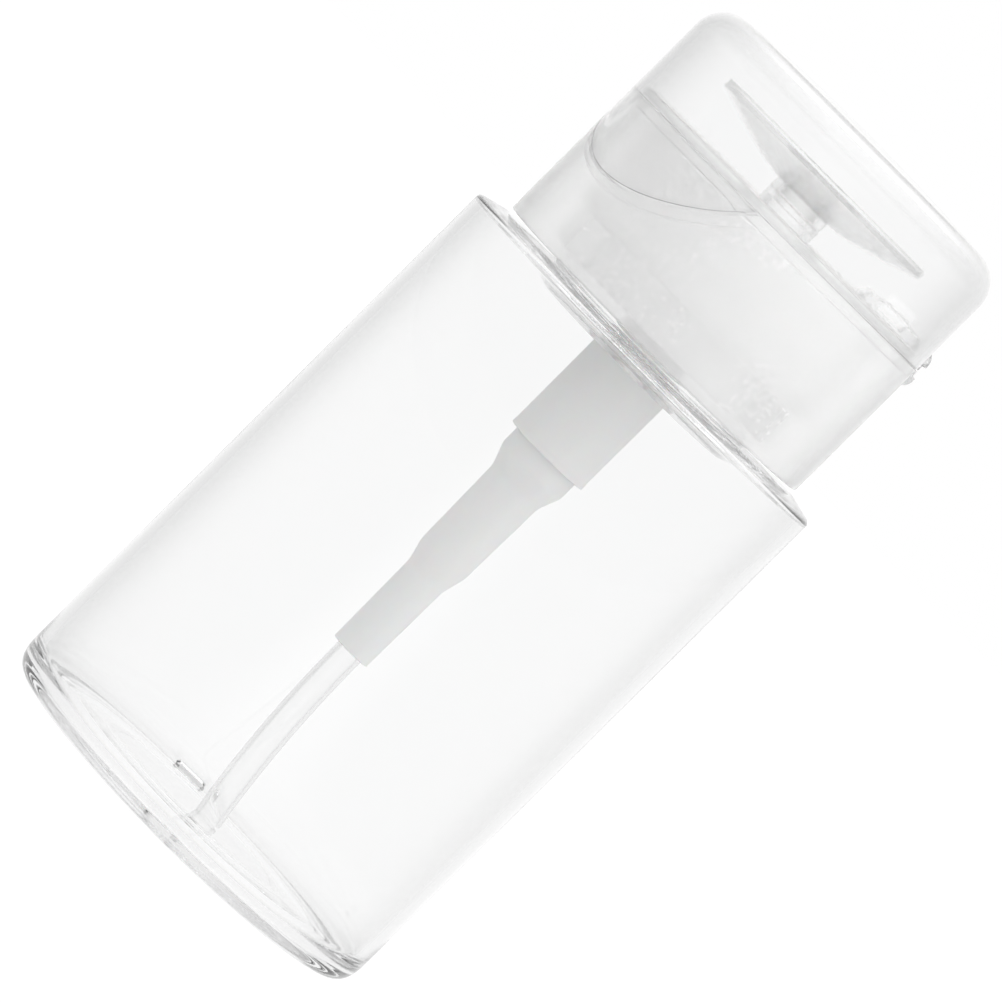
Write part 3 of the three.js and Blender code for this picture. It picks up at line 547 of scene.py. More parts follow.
# Where the shade is painted: stronger towards the foot and out from just inside the standing ring, and in
# full in the notch.
from_ring = np.hypot(x, y) - stand_inner + HEEL_SHADE_START
in_heel_shade = np.clip((HEEL_SHADE_TOP - z) / HEEL_SHADE_FADE, 0, 1) * np.clip(from_ring / HEEL_SHADE_SPREAD, 0, 1)
in_notch_shade = ((along > NOTCH_START - NOTCH_SHADE_MARGINS[0]) & (np.abs(across) < NOTCH_HALF_WIDTH + NOTCH_SHADE_MARGINS[1])
            & (z > NOTCH_SHADE_MARGINS[1]) & (z < NOTCH_HEIGHT + NOTCH_SHADE_MARGINS[2]))
heel_shade_share = np.where(in_notch_shade, 1, HEEL_SHADE_SHARE * in_heel_shade)
bottle.data.attributes.new("heel", "FLOAT", "POINT").data.foreach_set("value", heel_shade_share)
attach(bottle, "bottle")
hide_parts("bottle")

# Dip tube: extruded clear polyethylene, pushed into the cylinder's foot and cut square just above the floor.
# It keeps the bend that it had on its reel.
TUBE_RADIUS = 2.0
TUBE_WALL = 0.5
TUBE_BEND = 2.33
TUBE_BEND_AZIMUTH = math.radians(53)
TUBE_ROWS = 90
TUBE_COLUMNS = 128
TUBE_IOR = 1.5


def carried(name, sections, finish, closed=True):
    """A section carried along a path: sections[i, k] is point k of the section at step i of the path.

    The path's ends are closed by flat faces, or else joined, as a tube's inside and outside are."""
    return mesh_piece(name, sections, sections[[0, -1]].mean(1) if closed else None, finish)


def crosswise(path):
    """Two unit vectors square to the path at each of its points, worked out from its differences."""
    along = np.gradient(path, axis=0)
    along /= np.linalg.norm(along, axis=1)[:, None]
    side = np.cross(along, [0.3, 1.0, 0.0])
    side /= np.linalg.norm(side, axis=1)[:, None]
    return side, np.cross(along, side)


low, high = box_mm("dip_tube")
tube_top, tube_end = high.z, low.z
outlet_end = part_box("pump_cylinder")[0].z / MM
drop = tube_top + (tube_end - tube_top) * np.linspace(0, 1, TUBE_ROWS)
bent = TUBE_BEND * (np.clip(outlet_end - drop, 0, None) / (outlet_end - tube_end)) ** 2
tube_path = np.stack([bent * np.cos(TUBE_BEND_AZIMUTH), bent * np.sin(TUBE_BEND_AZIMUTH), drop], -1)
side, other = crosswise(tube_path)
turn = all_round(TUBE_COLUMNS)
spokes = side[:, None] * np.cos(turn)[None, :, None] + other[:, None] * np.sin(turn)[None, :, None]
tube_skins = np.vstack([tube_path[:, None] + TUBE_RADIUS * spokes,
                        (tube_path[:, None] + (TUBE_RADIUS - TUBE_WALL) * spokes)[::-1]])
# Its third colour is a painted edge shade.
tube_plastic = see_through(
    "clear_tube_plastic", (0.985, 0.985, 0.985, 1), (0.98, 0.98, 0.98, 1), (0.7, 0.703, 0.703, 1),
    0.02, 0.08, 0.3, cloud=220.0, bump=0.0008, grain_share=0.1, ior=TUBE_IOR)
dip_tube = carried("dip_tube_clear", tube_skins, tube_plastic, closed=False)
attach(dip_tube, "pump")
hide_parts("dip_tube")

# Pump cylinder: off-white polypropylene, moulded in one piece with the piston's bore, the spring's tube, the
# inlet ball's cage and the dip tube's socket. It is snapped under the guide tube.
CYLINDER_RADIUS = 6.3
CYLINDER_LENGTH = 17.3
BEAD_HEIGHT = 0.7
BEAD_SLOPE = 0.3
BEAD_DEPTH = 0.05
STEP_BAND_RADIUS = 5.25
STEP_BAND_LENGTH = 2.7
CONE_LENGTH = 3.0
SPRING_TUBE_RADIUS = 4.1
SPRING_TUBE_FOOT = 3.85
SPRING_TUBE_LENGTH = 13.2
OUTLET_RADIUS = 3.05
OUTLET_FOOT = 2.9
CYLINDER_WALL = 1.2
PISTON_BORE = 4.9
PISTON_FLOOR_RISE = 0.7
SPRING_LEDGE_RISE = 0.6
CAGE_LIP_HEIGHT = 0.4
CAGE_LIP_RADIUS = 1.35
CAGE_RADIUS = 1.9
CAGE_HEIGHT = 2.1
SEAT_HEIGHT = 1.2
THROAT_RADIUS = 0.9
GUIDE_OUTER = 5.15
SLIDE_GAP = 0.15
SEAT_GAP = 0.3

cylinder_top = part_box("pump_cylinder")[1].z / MM
guide_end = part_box("guide_tube")[0].z / MM
cylinder_foot = cylinder_top - CYLINDER_LENGTH
band_foot = cylinder_foot - STEP_BAND_LENGTH
spring_tube_top = band_foot - CONE_LENGTH
spring_tube_foot = spring_tube_top - SPRING_TUBE_LENGTH
outlet_top = spring_tube_foot - CONE_LENGTH
spring_ledge = spring_tube_foot + SPRING_LEDGE_RISE
cage_top = spring_ledge - CAGE_LIP_HEIGHT
seat_top = cage_top - CAGE_HEIGHT
seat_foot = seat_top - SEAT_HEIGHT
piston_floor = cylinder_foot + PISTON_FLOOR_RISE
tube_bore = TUBE_RADIUS + SLIDE_GAP
guide_socket = GUIDE_OUTER + SLIDE_GAP
pump_profile = eased([
    (guide_socket, cylinder_top), (CYLINDER_RADIUS, cylinder_top),
    (CYLINDER_RADIUS - BEAD_DEPTH, cylinder_foot + BEAD_HEIGHT + BEAD_SLOPE),
    (CYLINDER_RADIUS, cylinder_foot + BEAD_HEIGHT), (CYLINDER_RADIUS, cylinder_foot),
    (STEP_BAND_RADIUS, cylinder_foot), (STEP_BAND_RADIUS, band_foot),
    (SPRING_TUBE_RADIUS, spring_tube_top), (SPRING_TUBE_FOOT, spring_tube_foot), (OUTLET_RADIUS, outlet_top),
    (OUTLET_FOOT, outlet_end), (tube_bore, outlet_end), (tube_bore, tube_top + SEAT_GAP),
    (THROAT_RADIUS, tube_top + SEAT_GAP), (THROAT_RADIUS, seat_foot), (CAGE_RADIUS, seat_top),
    (CAGE_RADIUS, cage_top), (CAGE_LIP_RADIUS, cage_top), (CAGE_LIP_RADIUS, spring_ledge),
    (SPRING_TUBE_FOOT - CYLINDER_WALL, spring_ledge), (SPRING_TUBE_RADIUS - CYLINDER_WALL, spring_tube_top),
    (STEP_BAND_RADIUS - CYLINDER_WALL, band_foot), (STEP_BAND_RADIUS - CYLINDER_WALL, piston_floor),
    (PISTON_BORE, piston_floor), (PISTON_BORE, guide_end - SEAT_GAP), (guide_socket, guide_end - SEAT_GAP),
], [0.15, 0.2, 0.1, 0.1, 0.2, 0.15, 0.5, 0.6, 0.6, 0.5, 0.2, 0.15, 0.1, 0.1, 0.1, 0.1, 0.1, 0.1, 0.1, 0.15,
    0.4, 0.3, 0.2, 0.2, 0.1, 0.1])
pump_plastic = plastic("pump_plastic", (0.925, 0.925, 0.92, 1), (0.9, 0.9, 0.894, 1), 0.38, 0.55, 1600.0,
                       140.0, 0.012, Subsurface_Weight=0.2, Subsurface_Scale=1.5 * MM)
pump_cylinder = turned("pump_cylinder_white", pump_profile, pump_plastic)
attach(pump_cylinder, "pump")
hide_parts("pump_cylinder")

# Inlet ball: a steel ball that lies loose on the seat in the cylinder's foot, held in by the cage's lip. It
# and the outlet ball are ground and polished.
BALL_ROWS = 48
BALL_COLUMNS = 96


def ball(name, node, finish):
    """A ball the size of a CAD node's box: (R sin t, c - R cos t) for t from 0 to pi, turned."""
    low, high = box_mm(node)
    radius, middle = (high.z - low.z) / 2, (high.z + low.z) / 2
    t = np.linspace(0, np.pi, BALL_ROWS)
    profile = np.stack([radius * np.sin(t), middle - radius * np.cos(t)], -1)
    profile[[0, -1], 0] = 0
    return turned(name, profile, finish, columns=BALL_COLUMNS)


steel = plastic("ground_steel", (0.66, 0.67, 0.68, 1), (0.58, 0.59, 0.6, 1), 0.12, 0.3, 4000.0, 500.0, 0.002,
                Metallic=1.0)
inlet_ball = ball("inlet_ball_steel", "inlet_ball", steel)
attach(inlet_ball, "inlet_ball")
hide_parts("inlet_ball")

# Return spring: stainless wire wound in an even coil, between the cylinder's ledge and the plunger's head,
# which it pushes apart.
SPRING_WIRE = 0.5
SPRING_RADIUS = 2.15
SPRING_CURLS = 9
SPRING_STEPS = 40
WIRE_SIDES = 16

low, high = box_mm("return_spring")
sweep = np.linspace(0, 2 * np.pi * SPRING_CURLS, SPRING_CURLS * SPRING_STEPS + 1)
rise = low.z + SPRING_WIRE / 2 + (high.z - low.z - SPRING_WIRE) * sweep / sweep[-1]
spring_path = np.stack([SPRING_RADIUS * np.cos(sweep), SPRING_RADIUS * np.sin(sweep), rise], -1)
outwards = np.stack([np.cos(sweep), np.sin(sweep), np.zeros_like(sweep)], -1)
along = np.gradient(spring_path, axis=0)
upwards = np.cross(outwards, along / np.linalg.norm(along, axis=1)[:, None])
turn = all_round(WIRE_SIDES)[None, :, None]
wire_skin = spring_path[:, None] + SPRING_WIRE / 2 * (outwards[:, None] * np.cos(turn)
                                                     + upwards[:, None] * np.sin(turn))
return_spring = carried("return_spring_steel", wire_skin, steel)
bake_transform(return_spring)
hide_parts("return_spring")

# Piston and plunger: the piston is a soft sleeve with a lip at each end, and slides a little on the hollow
# plunger, which opens and shuts the plunger's side ports. The plunger is pressed into the stem.
PISTON_LIP = 4.75
PISTON_WAIST = 0.45
PISTON_LIP_HEIGHT = 1.3
ROD_RADIUS = 1.95
ROD_BORE = 1.1
PLUG_RADIUS = 2.95
PLUG_LENGTH = 7.2
PLUNGER_SEAT_DEPTH = 1.4
PLUNGER_SEAT_RADIUS = 2.4
HEAD_RADIUS = 2.6
HEAD_THICKNESS = 1.3
ROD_BORE_RISE = 1.1
ROD_PORT_RADIUS = 0.6
ROD_PORT_RISE = 1.8
PIN_RADIUS = 1.3
PIN_LENGTH = 5.8
PORT_SIDES = 24
SMALL_COLUMNS = 96
CUT_MERGE = 0.002 * MM


def rod(name, radius, half_length, height, azimuth):
    """A round bar through the axis: radius (cos t, sin t) across, carried from one end to the other."""
    t = all_round(PORT_SIDES)
    reach = np.array([-half_length, half_length])[:, None]
    x, y = reach + 0 * t, radius * np.cos(t) + 0 * reach
    c, s = math.cos(azimuth), math.sin(azimuth)
    bar = np.stack([x * c - y * s, x * s + y * c, height + radius * np.sin(t) + 0 * reach], -1)
    return carried(name, bar, None)


def cut_or_join(piece, other, operation):
    """Cuts another solid out of the piece, or joins it on, keeps the result as the piece's mesh, and closes
    the slivers that the cut leaves open."""
    modifier = piece.modifiers.new(operation, "BOOLEAN")
    modifier.operation = operation
    modifier.solver = "EXACT"
    modifier.object = other
    depsgraph = bpy.context.evaluated_depsgraph_get()
    mesh = bpy.data.meshes.new_from_object(piece.evaluated_get(depsgraph))
    piece.modifiers.clear()
    piece.data = mesh
    shape = bmesh.new()
    shape.from_mesh(mesh)
    bmesh.ops.remove_doubles(shape, verts=shape.verts, dist=CUT_MERGE)
    shape.to_mesh(mesh)
    shape.free()
    mesh.polygons.foreach_set("use_smooth", np.ones(len(mesh.polygons), bool))
    mesh.set_sharp_from_angle(angle=SHARP_ANGLE)
    bpy.data.objects.remove(other)


low, high = box_mm("piston")
waist_radius = PISTON_LIP - PISTON_WAIST
piston_bore = ROD_RADIUS + SLIDE_GAP
piston_profile = eased([
    (piston_bore, low.z), (PISTON_LIP, low.z), (PISTON_LIP, low.z + PISTON_LIP_HEIGHT),
    (waist_radius, low.z + PISTON_LIP_HEIGHT + PISTON_WAIST),
    (waist_radius, high.z - PISTON_LIP_HEIGHT - PISTON_WAIST),
    (PISTON_LIP, high.z - PISTON_LIP_HEIGHT), (PISTON_LIP, high.z), (piston_bore, high.z),
], [0.1, 0.25, 0.3, 0.3, 0.3, 0.3, 0.25, 0.1])
seal_plastic = plastic("seal_plastic", (0.97, 0.97, 0.965, 1), (0.95, 0.95, 0.945, 1), 0.35, 0.5, 1400.0,
                       160.0, Subsurface_Weight=0.4, Subsurface_Scale=2 * MM)
piston = turned("piston_soft", piston_profile, seal_plastic, columns=SMALL_COLUMNS)
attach(piston, "press")
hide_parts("piston")

low, high = box_mm("plunger")
stem_foot = high.z - PLUG_LENGTH
head_foot = low.z + PIN_LENGTH
rod_foot = head_foot + HEAD_THICKNESS
plunger_profile = eased([
    (0, low.z), (PIN_RADIUS, low.z), (PIN_RADIUS, head_foot), (HEAD_RADIUS, head_foot),
    (HEAD_RADIUS, rod_foot), (ROD_RADIUS, rod_foot), (ROD_RADIUS, stem_foot), (PLUG_RADIUS, stem_foot),
    (PLUG_RADIUS, high.z), (PLUNGER_SEAT_RADIUS, high.z), (ROD_BORE, high.z - PLUNGER_SEAT_DEPTH),
    (ROD_BORE, rod_foot + ROD_BORE_RISE), (0, rod_foot + ROD_BORE_RISE),
], [0, 0.3, 0.1, 0.2, 0.2, 0.1, 0.1, 0.15, 0.2, 0.1, 0.1, 0.2, 0])
plunger = turned("plunger_white", plunger_profile, pump_plastic, columns=SMALL_COLUMNS)
bar = rod("port_bar", ROD_PORT_RADIUS, 2 * ROD_RADIUS, rod_foot + ROD_PORT_RISE, 0)
cut_or_join(plunger, bar, "DIFFERENCE")
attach(plunger, "press")
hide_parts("plunger")

# Outlet ball: the larger steel ball, which lies on the plunger's seat and lifts when the dish is pressed.
# A stop in the stem keeps it near its seat.
outlet_ball = ball("outlet_ball_steel", "outlet_ball", steel)
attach(outlet_ball, "outlet_ball")
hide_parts("outlet_ball")

# Gasket, guide tube and stem seal: the guide tube's flange is clamped on the neck over a flat polyethylene
# gasket, the stem slides in its tube, and a soft lip seal on the flange wipes the stem.
FLANGE_RADIUS = 16.8
FLANGE_THICKNESS = 1.2
GUIDE_BORE = 4.55
GASKET_INNER = 12.4
GASKET_OUTER = 16.6
SEAL_LIP = 0.4
SEAL_WIDTH = 1.5
GUIDE_FILLET = 0.8

low, high = box_mm("neck_gasket")
gasket = turned("neck_gasket_soft", eased([
    (GASKET_INNER, low.z), (GASKET_OUTER, low.z), (GASKET_OUTER, high.z), (GASKET_INNER, high.z),
], [0.15] * 4), seal_plastic)
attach(gasket, "pump")
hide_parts("neck_gasket")

low, high = box_mm("guide_tube")
# Its third colour is a painted edge shade.
frosted_guide = see_through(
    "frosted_guide_plastic", (0.985, 0.985, 0.985, 1), (0.975, 0.975, 0.975, 1), (0.97, 0.97, 0.97, 1),
    0.25, 0.36, transmission=0.95, bump=0.012)
guide_tube = turned("guide_tube_frosted", eased([
    (GUIDE_BORE, high.z), (FLANGE_RADIUS, high.z), (FLANGE_RADIUS, high.z - FLANGE_THICKNESS),
    (GUIDE_OUTER, high.z - FLANGE_THICKNESS), (GUIDE_OUTER, low.z), (GUIDE_BORE, low.z),
], [0.2, 0.2, 0.2, GUIDE_FILLET, 0.15, 0.15]), frosted_guide)
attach(guide_tube, "pump")
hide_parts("guide_tube")

low, high = box_mm("stem_seal")
stem_seal = turned("stem_seal_soft", eased([
    (GUIDE_BORE, low.z), (GUIDE_BORE + SEAL_WIDTH, low.z), (GUIDE_BORE + SEAL_WIDTH, high.z),
    (GUIDE_BORE + SEAL_LIP, high.z), (GUIDE_BORE, low.z + SEAL_LIP),
], [0.1, 0.15, 0.15, 0.1, 0.1]), seal_plastic, columns=SMALL_COLUMNS)
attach(stem_seal, "pump")
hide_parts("stem_seal")

# Press dish: frosted polypropylene, a shallow dish with an upright rim, moulded in one with the hollow stem.
# A cotton pad is pressed on it, and the liquid wells up in its middle.
DISH_RIM_HEIGHT = 1.2
DISH_DEPTH = 3.4
DISH_WALL = 1.1
DISH_RIM_WALL = 0.9
DISH_POWER = 1.35
DISH_ROWS = 28
STEM_RADIUS = 4.4
STEM_BORE = 3.1
INSERT_LEDGE_RADIUS = 2.4
INSERT_LEDGE_HEIGHT = 0.8
STOP_RADIUS = 1.6
STOP_HEIGHT = 0.8
BALL_TRAVEL = 0.8
BALL_GAP = 0.12

low, high = box_mm("press_dish")
dish_radius, dish_top, stem_end = high.x, high.z, low.z
dish_foot = dish_top - DISH_RIM_HEIGHT - DISH_DEPTH
dish_floor = dish_foot + DISH_WALL
insert_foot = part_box("outlet_insert")[0].z / MM
ledge_top = insert_foot - SEAT_GAP
ball_low, ball_high = box_mm("outlet_ball")
ball_radius, ball_middle = (ball_high.z - ball_low.z) / 2, (ball_high.z + ball_low.z) / 2
ball_stop = ball_middle + BALL_TRAVEL + BALL_GAP + math.sqrt(ball_radius ** 2 - STOP_RADIUS ** 2)
share = np.linspace(0, 1, DISH_ROWS)
rim_start = dish_radius - DISH_RIM_WALL
under_dish = np.stack([STEM_RADIUS + (dish_radius - STEM_RADIUS) * share,
                       dish_foot + DISH_DEPTH * share ** DISH_POWER], -1)
in_dish = np.stack([STEM_RADIUS + (rim_start - STEM_RADIUS) * share,
                    dish_floor + (dish_top - dish_floor - DISH_WALL / 2) * share ** DISH_POWER], -1)[::-1]
rim = eased([under_dish[-1], (dish_radius, dish_top), (rim_start, dish_top), in_dish[0]], [0, 0.25, 0.25, 0])
bore = eased([
    in_dish[-1], (STEM_BORE, dish_floor), (STEM_BORE, ledge_top), (INSERT_LEDGE_RADIUS, ledge_top),
    (INSERT_LEDGE_RADIUS, ledge_top - INSERT_LEDGE_HEIGHT), (STEM_BORE, ledge_top - INSERT_LEDGE_HEIGHT),
    (STEM_BORE, ball_stop + STOP_HEIGHT), (STOP_RADIUS, ball_stop + STOP_HEIGHT), (STOP_RADIUS, ball_stop),
    (STEM_BORE, ball_stop), (STEM_BORE, stem_end), (STEM_RADIUS, stem_end), under_dish[0],
], [0, 0.2, 0.1, 0.1, 0.1, 0.1, 0.1, 0.1, 0.1, 0.1, 0.15, 0.2, 0])
dish_profile = np.vstack([under_dish[1:-1], rim, in_dish[1:-1], bore])
# Its third colour is a painted edge shade.
frosted_dish = see_through(
    "frosted_dish_plastic", (0.996, 0.996, 0.996, 1), (0.992, 0.992, 0.992, 1), (0.985, 0.985, 0.985, 1),
    0.12, 0.2)
press_dish = turned("press_dish_frosted", dish_profile, frosted_dish)
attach(press_dish, "press")
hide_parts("press_dish")

# Outlet insert: an off-white plug pressed into the stem's mouth. Four small ports round it spread the liquid
# over the dish.
INSERT_RADIUS = 2.9
INSERT_WALL = 0.7
INSERT_TOP = 0.8
INSERT_PORT_RADIUS = 0.45
INSERT_PORT_DROP = 1.25

low, high = box_mm("outlet_insert")
# Its third colour is a painted edge shade.
insert_plastic = see_through(
    "outlet_insert_plastic", (0.985, 0.985, 0.98, 1), (0.975, 0.975, 0.97, 1), (0.97, 0.97, 0.965, 1),
    0.3, 0.45, transmission=0.9, grain=1400.0, cloud=160.0)
outlet_insert = turned("outlet_insert_white", eased([
    (0, high.z), (INSERT_RADIUS, high.z), (INSERT_RADIUS, low.z), (INSERT_RADIUS - INSERT_WALL, low.z),
    (INSERT_RADIUS - INSERT_WALL, high.z - INSERT_TOP), (0, high.z - INSERT_TOP),
], [0, 0.35, 0.15, 0.1, 0.2, 0]), insert_plastic, columns=SMALL_COLUMNS)
for azimuth in (0, math.pi / 2):
    bar = rod("port_bar", INSERT_PORT_RADIUS, 2 * INSERT_RADIUS, high.z - INSERT_PORT_DROP, azimuth)
    cut_or_join(outlet_insert, bar, "DIFFERENCE")
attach(outlet_insert, "press")
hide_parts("outlet_insert")

# Screw cap: the inner closure in frosted polypropylene, with the thread, a plate that clamps the pump's
# flange, and four ribs that hold the collar shell off it.
CAP_BORE = 18.35
CAP_RADIUS = 19.4
CAP_PLATE = 1.2
CAP_RIM_HEIGHT = 2.2
CAP_RIM_WALL = 1.2
CAP_THREAD_TURNS = 1.3
CAP_RIBS = 4
CAP_RIB_AZIMUTH = math.radians(8)
CAP_RIB_HALF = 0.5
CAP_RIB_HEIGHT = 5.2
CAP_RIB_RISE = 0.3
CAP_RIB_REACH = 24.3
RIB_MARK = 0.01
RIB_NUDGE = 0.0005
CAP_ROW = 1.0
CAP_SKIRT_ROW = 0.25
CAP_THREAD_ROW = 0.5

low, high = box_mm("screw_cap")
plate_top = high.z - CAP_RIM_HEIGHT
plate_foot = plate_top - CAP_PLATE
plate_bore = GUIDE_BORE + SEAL_WIDTH + SEAT_GAP
cap_thread_foot = thread_foot + THREAD_PITCH / 2
cap_thread_end = cap_thread_foot + CAP_THREAD_TURNS * THREAD_PITCH
rib_foot = low.z + CAP_RIB_RISE
rib_top = rib_foot + CAP_RIB_HEIGHT
cap_profile = np.vstack([
    level_rows((CAP_BORE, cap_thread_end + THREAD_ROOT), (CAP_BORE, cap_thread_foot - THREAD_ROOT)),
    eased([
        (CAP_BORE, low.z + CAP_ROW), (CAP_BORE, low.z), (CAP_RADIUS, low.z),
        (CAP_RADIUS, low.z + CAP_SKIRT_ROW),
    ], [0, 0.2, 0.1, 0]),
    [[CAP_RADIUS + mark, row] for mark, row in ((0, rib_foot), (RIB_MARK, rib_foot), (RIB_MARK, rib_top),
                                                (0, rib_top))],
    eased([
        (CAP_RADIUS, rib_top + CAP_ROW), (CAP_RADIUS, high.z), (CAP_RADIUS - CAP_RIM_WALL, high.z),
        (CAP_RADIUS - CAP_RIM_WALL, plate_top), (plate_bore, plate_top), (plate_bore, plate_foot),
        (CAP_BORE, plate_foot), (CAP_BORE, cap_thread_end + THREAD_ROOT + CAP_THREAD_ROW),
    ], [0, 0.3, 0.2, 0.3, 0.2, 0.2, 0.4, 0]),
])
rib_middles = CAP_RIB_AZIMUTH + np.arange(CAP_RIBS) * 2 * np.pi / CAP_RIBS
rib_half_turn = CAP_RIB_HALF / CAP_RADIUS
cap_columns = all_round(ROUND_COLUMNS, *(rib_middles + side * rib_half_turn + nudge for side in (-1, 1)
                                         for nudge in (-RIB_NUDGE, RIB_NUDGE)))


def cap_shape(r, z, a):
    """The bore shrinks by its thread's height, and at each rib the outside reaches out to the rib's edge."""
    in_bore = np.isclose(r, CAP_BORE) & (z < plate_foot - CAP_ROW)
    r = r - np.where(in_bore, thread_height(z, a, cap_thread_foot, CAP_THREAD_TURNS), 0)
    off_rib = np.min(np.abs(a[..., None] - rib_middles), axis=-1)
    on_rib = (r > CAP_RADIUS + RIB_MARK / 2) & (off_rib < rib_half_turn)
    return np.where(on_rib, CAP_RIB_REACH, r), z


# Its third colour is a painted edge shade.
frosted_cap = see_through(
    "frosted_cap_plastic", (0.955, 0.956, 0.956, 1), (0.945, 0.946, 0.946, 1), (0.95, 0.951, 0.951, 1),
    0.22, 0.3, transmission=0.5, cloud=90.0)
screw_cap = turned("screw_cap_frosted", cap_profile, frosted_cap, columns=cap_columns, shape=cap_shape)
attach(screw_cap, "collar")
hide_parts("screw_cap")

# Collar shell: the outer skin of the closure in the same frosted polypropylene, moulded in one with the lid.
# Its deck carries a raised rim for the lid, a pocket in front leaves room for a thumb behind the lid's tab,
# and the socket inside it is pressed over the screw cap.
COLLAR_WALL = 1.1
DECK_THICKNESS = 1.3
DECK_RIM_RADIUS = 24.3
DECK_RIM_RISE = 1.6
DECK_RIM_INNER = 23.2
DECK_BAND = 3.0
DECK_HOLE = 4.7
DECK_LEDGE = 17.0
DECK_LEDGE_ROW = 0.5
SOCKET_BORE = 19.7
SOCKET_RADIUS = 20.7
SOCKET_DROP = 13.3
SOCKET_TAPER = 2.0
SOCKET_EDGE = 0.3
CAP_SEAT_DEPTH = 1.7
TAB_HALF_WIDTH = 18.5
TAB_DEPTH = 10.0
TAB_GAP = 0.4
POCKET_EASE = 1.6
POCKET_RADIUS = 23.9
POCKET_WALL = 1.1
BOSS_HALF_WIDTH = 9.0
BOSS_HALF_HEIGHT = 3.3
BOSS_FACE_EASE = 0.35
BOSS_END = 0.985
BOSS_SQUARENESS = 6.0
BOSS_ROW_DROP = 4.0
SEAM_GAP = 0.16
BOSS_COLUMNS = 61
FILM_RECESS_HALF = 1.0
FILM_RECESS_DEPTH = 0.65
LEAST_STEP = 0.02
CLOSURE_COLUMNS = 256
FEATURE_ROWS = 12
COLLAR_ROW = 2.0
FRONT = 1.5 * np.pi
POCKET_MARK, BACK_MARK = 1000.0, 2000.0
# Spans where plain white takes the painted edge shade off:
BORE_SHADE_LIFT = np.array([-0.1, -0.25])
PAD_SHADE_LIFT = np.array([0.05, 0.2])

low, high = box_mm("collar_shell")
collar_radius, boss_face, deck_top, collar_foot = *high, low.z
seam = deck_top - DECK_RIM_RISE
collar_top = seam - SEAM_GAP / 2
deck_foot = deck_top - DECK_THICKNESS
cap_seat = deck_foot - CAP_SEAT_DEPTH
socket_foot = cap_seat - SOCKET_DROP
band_foot = deck_top - DECK_BAND
collar_bore = collar_radius - COLLAR_WALL
tab_curve = (TAB_HALF_WIDTH ** 2 + TAB_DEPTH ** 2) / (2 * TAB_DEPTH)
tab_middle = seam - TAB_DEPTH + tab_curve


def tab_reach(a, offset, level):
    """How far the thumb tab's outline, grown by an offset, hangs below a level at azimuth a.

    The outline is a circle in the XZ plane, so its depth at x is the circle's height there."""
    x = collar_radius * np.sin(a - FRONT)
    depth = level - tab_middle + np.sqrt(np.clip((tab_curve + offset) ** 2 - x ** 2, 0, None))
    return np.where((np.cos(a - FRONT) > 0) & (depth > 0), depth, 0)


def tab_end(offset, level):
    """The azimuth, off the front, at which the tab's outline meets a level."""
    return math.asin(math.sqrt((tab_curve + offset) ** 2 - (tab_middle - level) ** 2) / collar_radius)


pocket_end = tab_end(TAB_GAP, collar_top)
back_wall_end = tab_end(TAB_GAP + POCKET_WALL, band_foot)


def marked_rows(radius, mark):
    """Rows that shape() hangs between a level and the tab's outline: z is a mark plus a share of the way."""
    share = np.sin(np.linspace(0, np.pi / 2, FEATURE_ROWS))
    return np.stack([0 * share + radius, mark + share], -1)


def collar_shape(r, z, a):
    """Marked rows hang from their level down to the tab's outline, and lie in the pocket only under the tab.

    The pocket's foot is rounded: its radius grows by e - sqrt(e^2 - (e - d)^2), d from the outline."""
    pocket = tab_reach(a, TAB_GAP, collar_top)
    behind = tab_reach(a, TAB_GAP + POCKET_WALL, band_foot)
    in_pocket, in_behind = (z >= POCKET_MARK) & (z < BACK_MARK), z >= BACK_MARK
    share = np.where(in_behind, z - BACK_MARK, z - POCKET_MARK)
    wall_row = np.isclose(r, collar_radius) | np.isclose(r, collar_bore)
    nudge = LEAST_STEP * (share + wall_row)
    left = (1 - share) * pocket
    rounded = POCKET_EASE - np.sqrt(np.clip(POCKET_EASE ** 2 - (POCKET_EASE - left) ** 2, 0, None))
    z = np.where(in_pocket, collar_top - share * pocket - nudge, z)
    z = np.where(in_behind, band_foot - share * behind - nudge, z)
    r = np.where(in_pocket & ~wall_row & (left < POCKET_EASE), POCKET_RADIUS + rounded, r)
    r = np.where(in_pocket & (pocket <= 0), collar_radius, r)
    r = np.where(in_behind & (behind <= 0), collar_bore, r)
    under_boss = np.isclose(r, collar_radius) & np.isclose(z, collar_foot + COLLAR_ROW)
    return r, np.where(under_boss & (np.cos(a - FRONT) < 0), collar_top - BOSS_ROW_DROP, z)


collar_profile = np.vstack([
    eased([
        (DECK_LEDGE, cap_seat), (DECK_LEDGE, deck_foot), (DECK_HOLE, deck_foot), (DECK_HOLE, deck_top),
        (DECK_RIM_RADIUS, deck_top), (DECK_RIM_RADIUS, collar_top), (collar_radius, collar_top),
    ], [0.2, 0.2, 0.2, 0.25, 0.35, 0.15, 0]),
    marked_rows(POCKET_RADIUS, POCKET_MARK), [[collar_radius, POCKET_MARK + 1]],
    eased([
        (collar_radius, collar_foot + COLLAR_ROW), (collar_radius, collar_foot), (collar_bore, collar_foot),
        (collar_bore, collar_foot + COLLAR_ROW),
    ], [0, 0.3, 0.2, 0]),
    [[collar_bore, BACK_MARK + 1]], marked_rows(POCKET_RADIUS - POCKET_WALL, BACK_MARK)[::-1],
    eased([
        (DECK_RIM_INNER, band_foot), (DECK_RIM_INNER, deck_foot), (SOCKET_RADIUS, deck_foot),
        (SOCKET_RADIUS, socket_foot + SOCKET_TAPER), (SOCKET_BORE + SOCKET_EDGE, socket_foot),
        (SOCKET_BORE, socket_foot), (SOCKET_BORE, cap_seat), (DECK_LEDGE + DECK_LEDGE_ROW, cap_seat),
    ], [0.2, 0.2, 0.2, 0.9, 0.1, 0.1, 0.2, 0]),
])
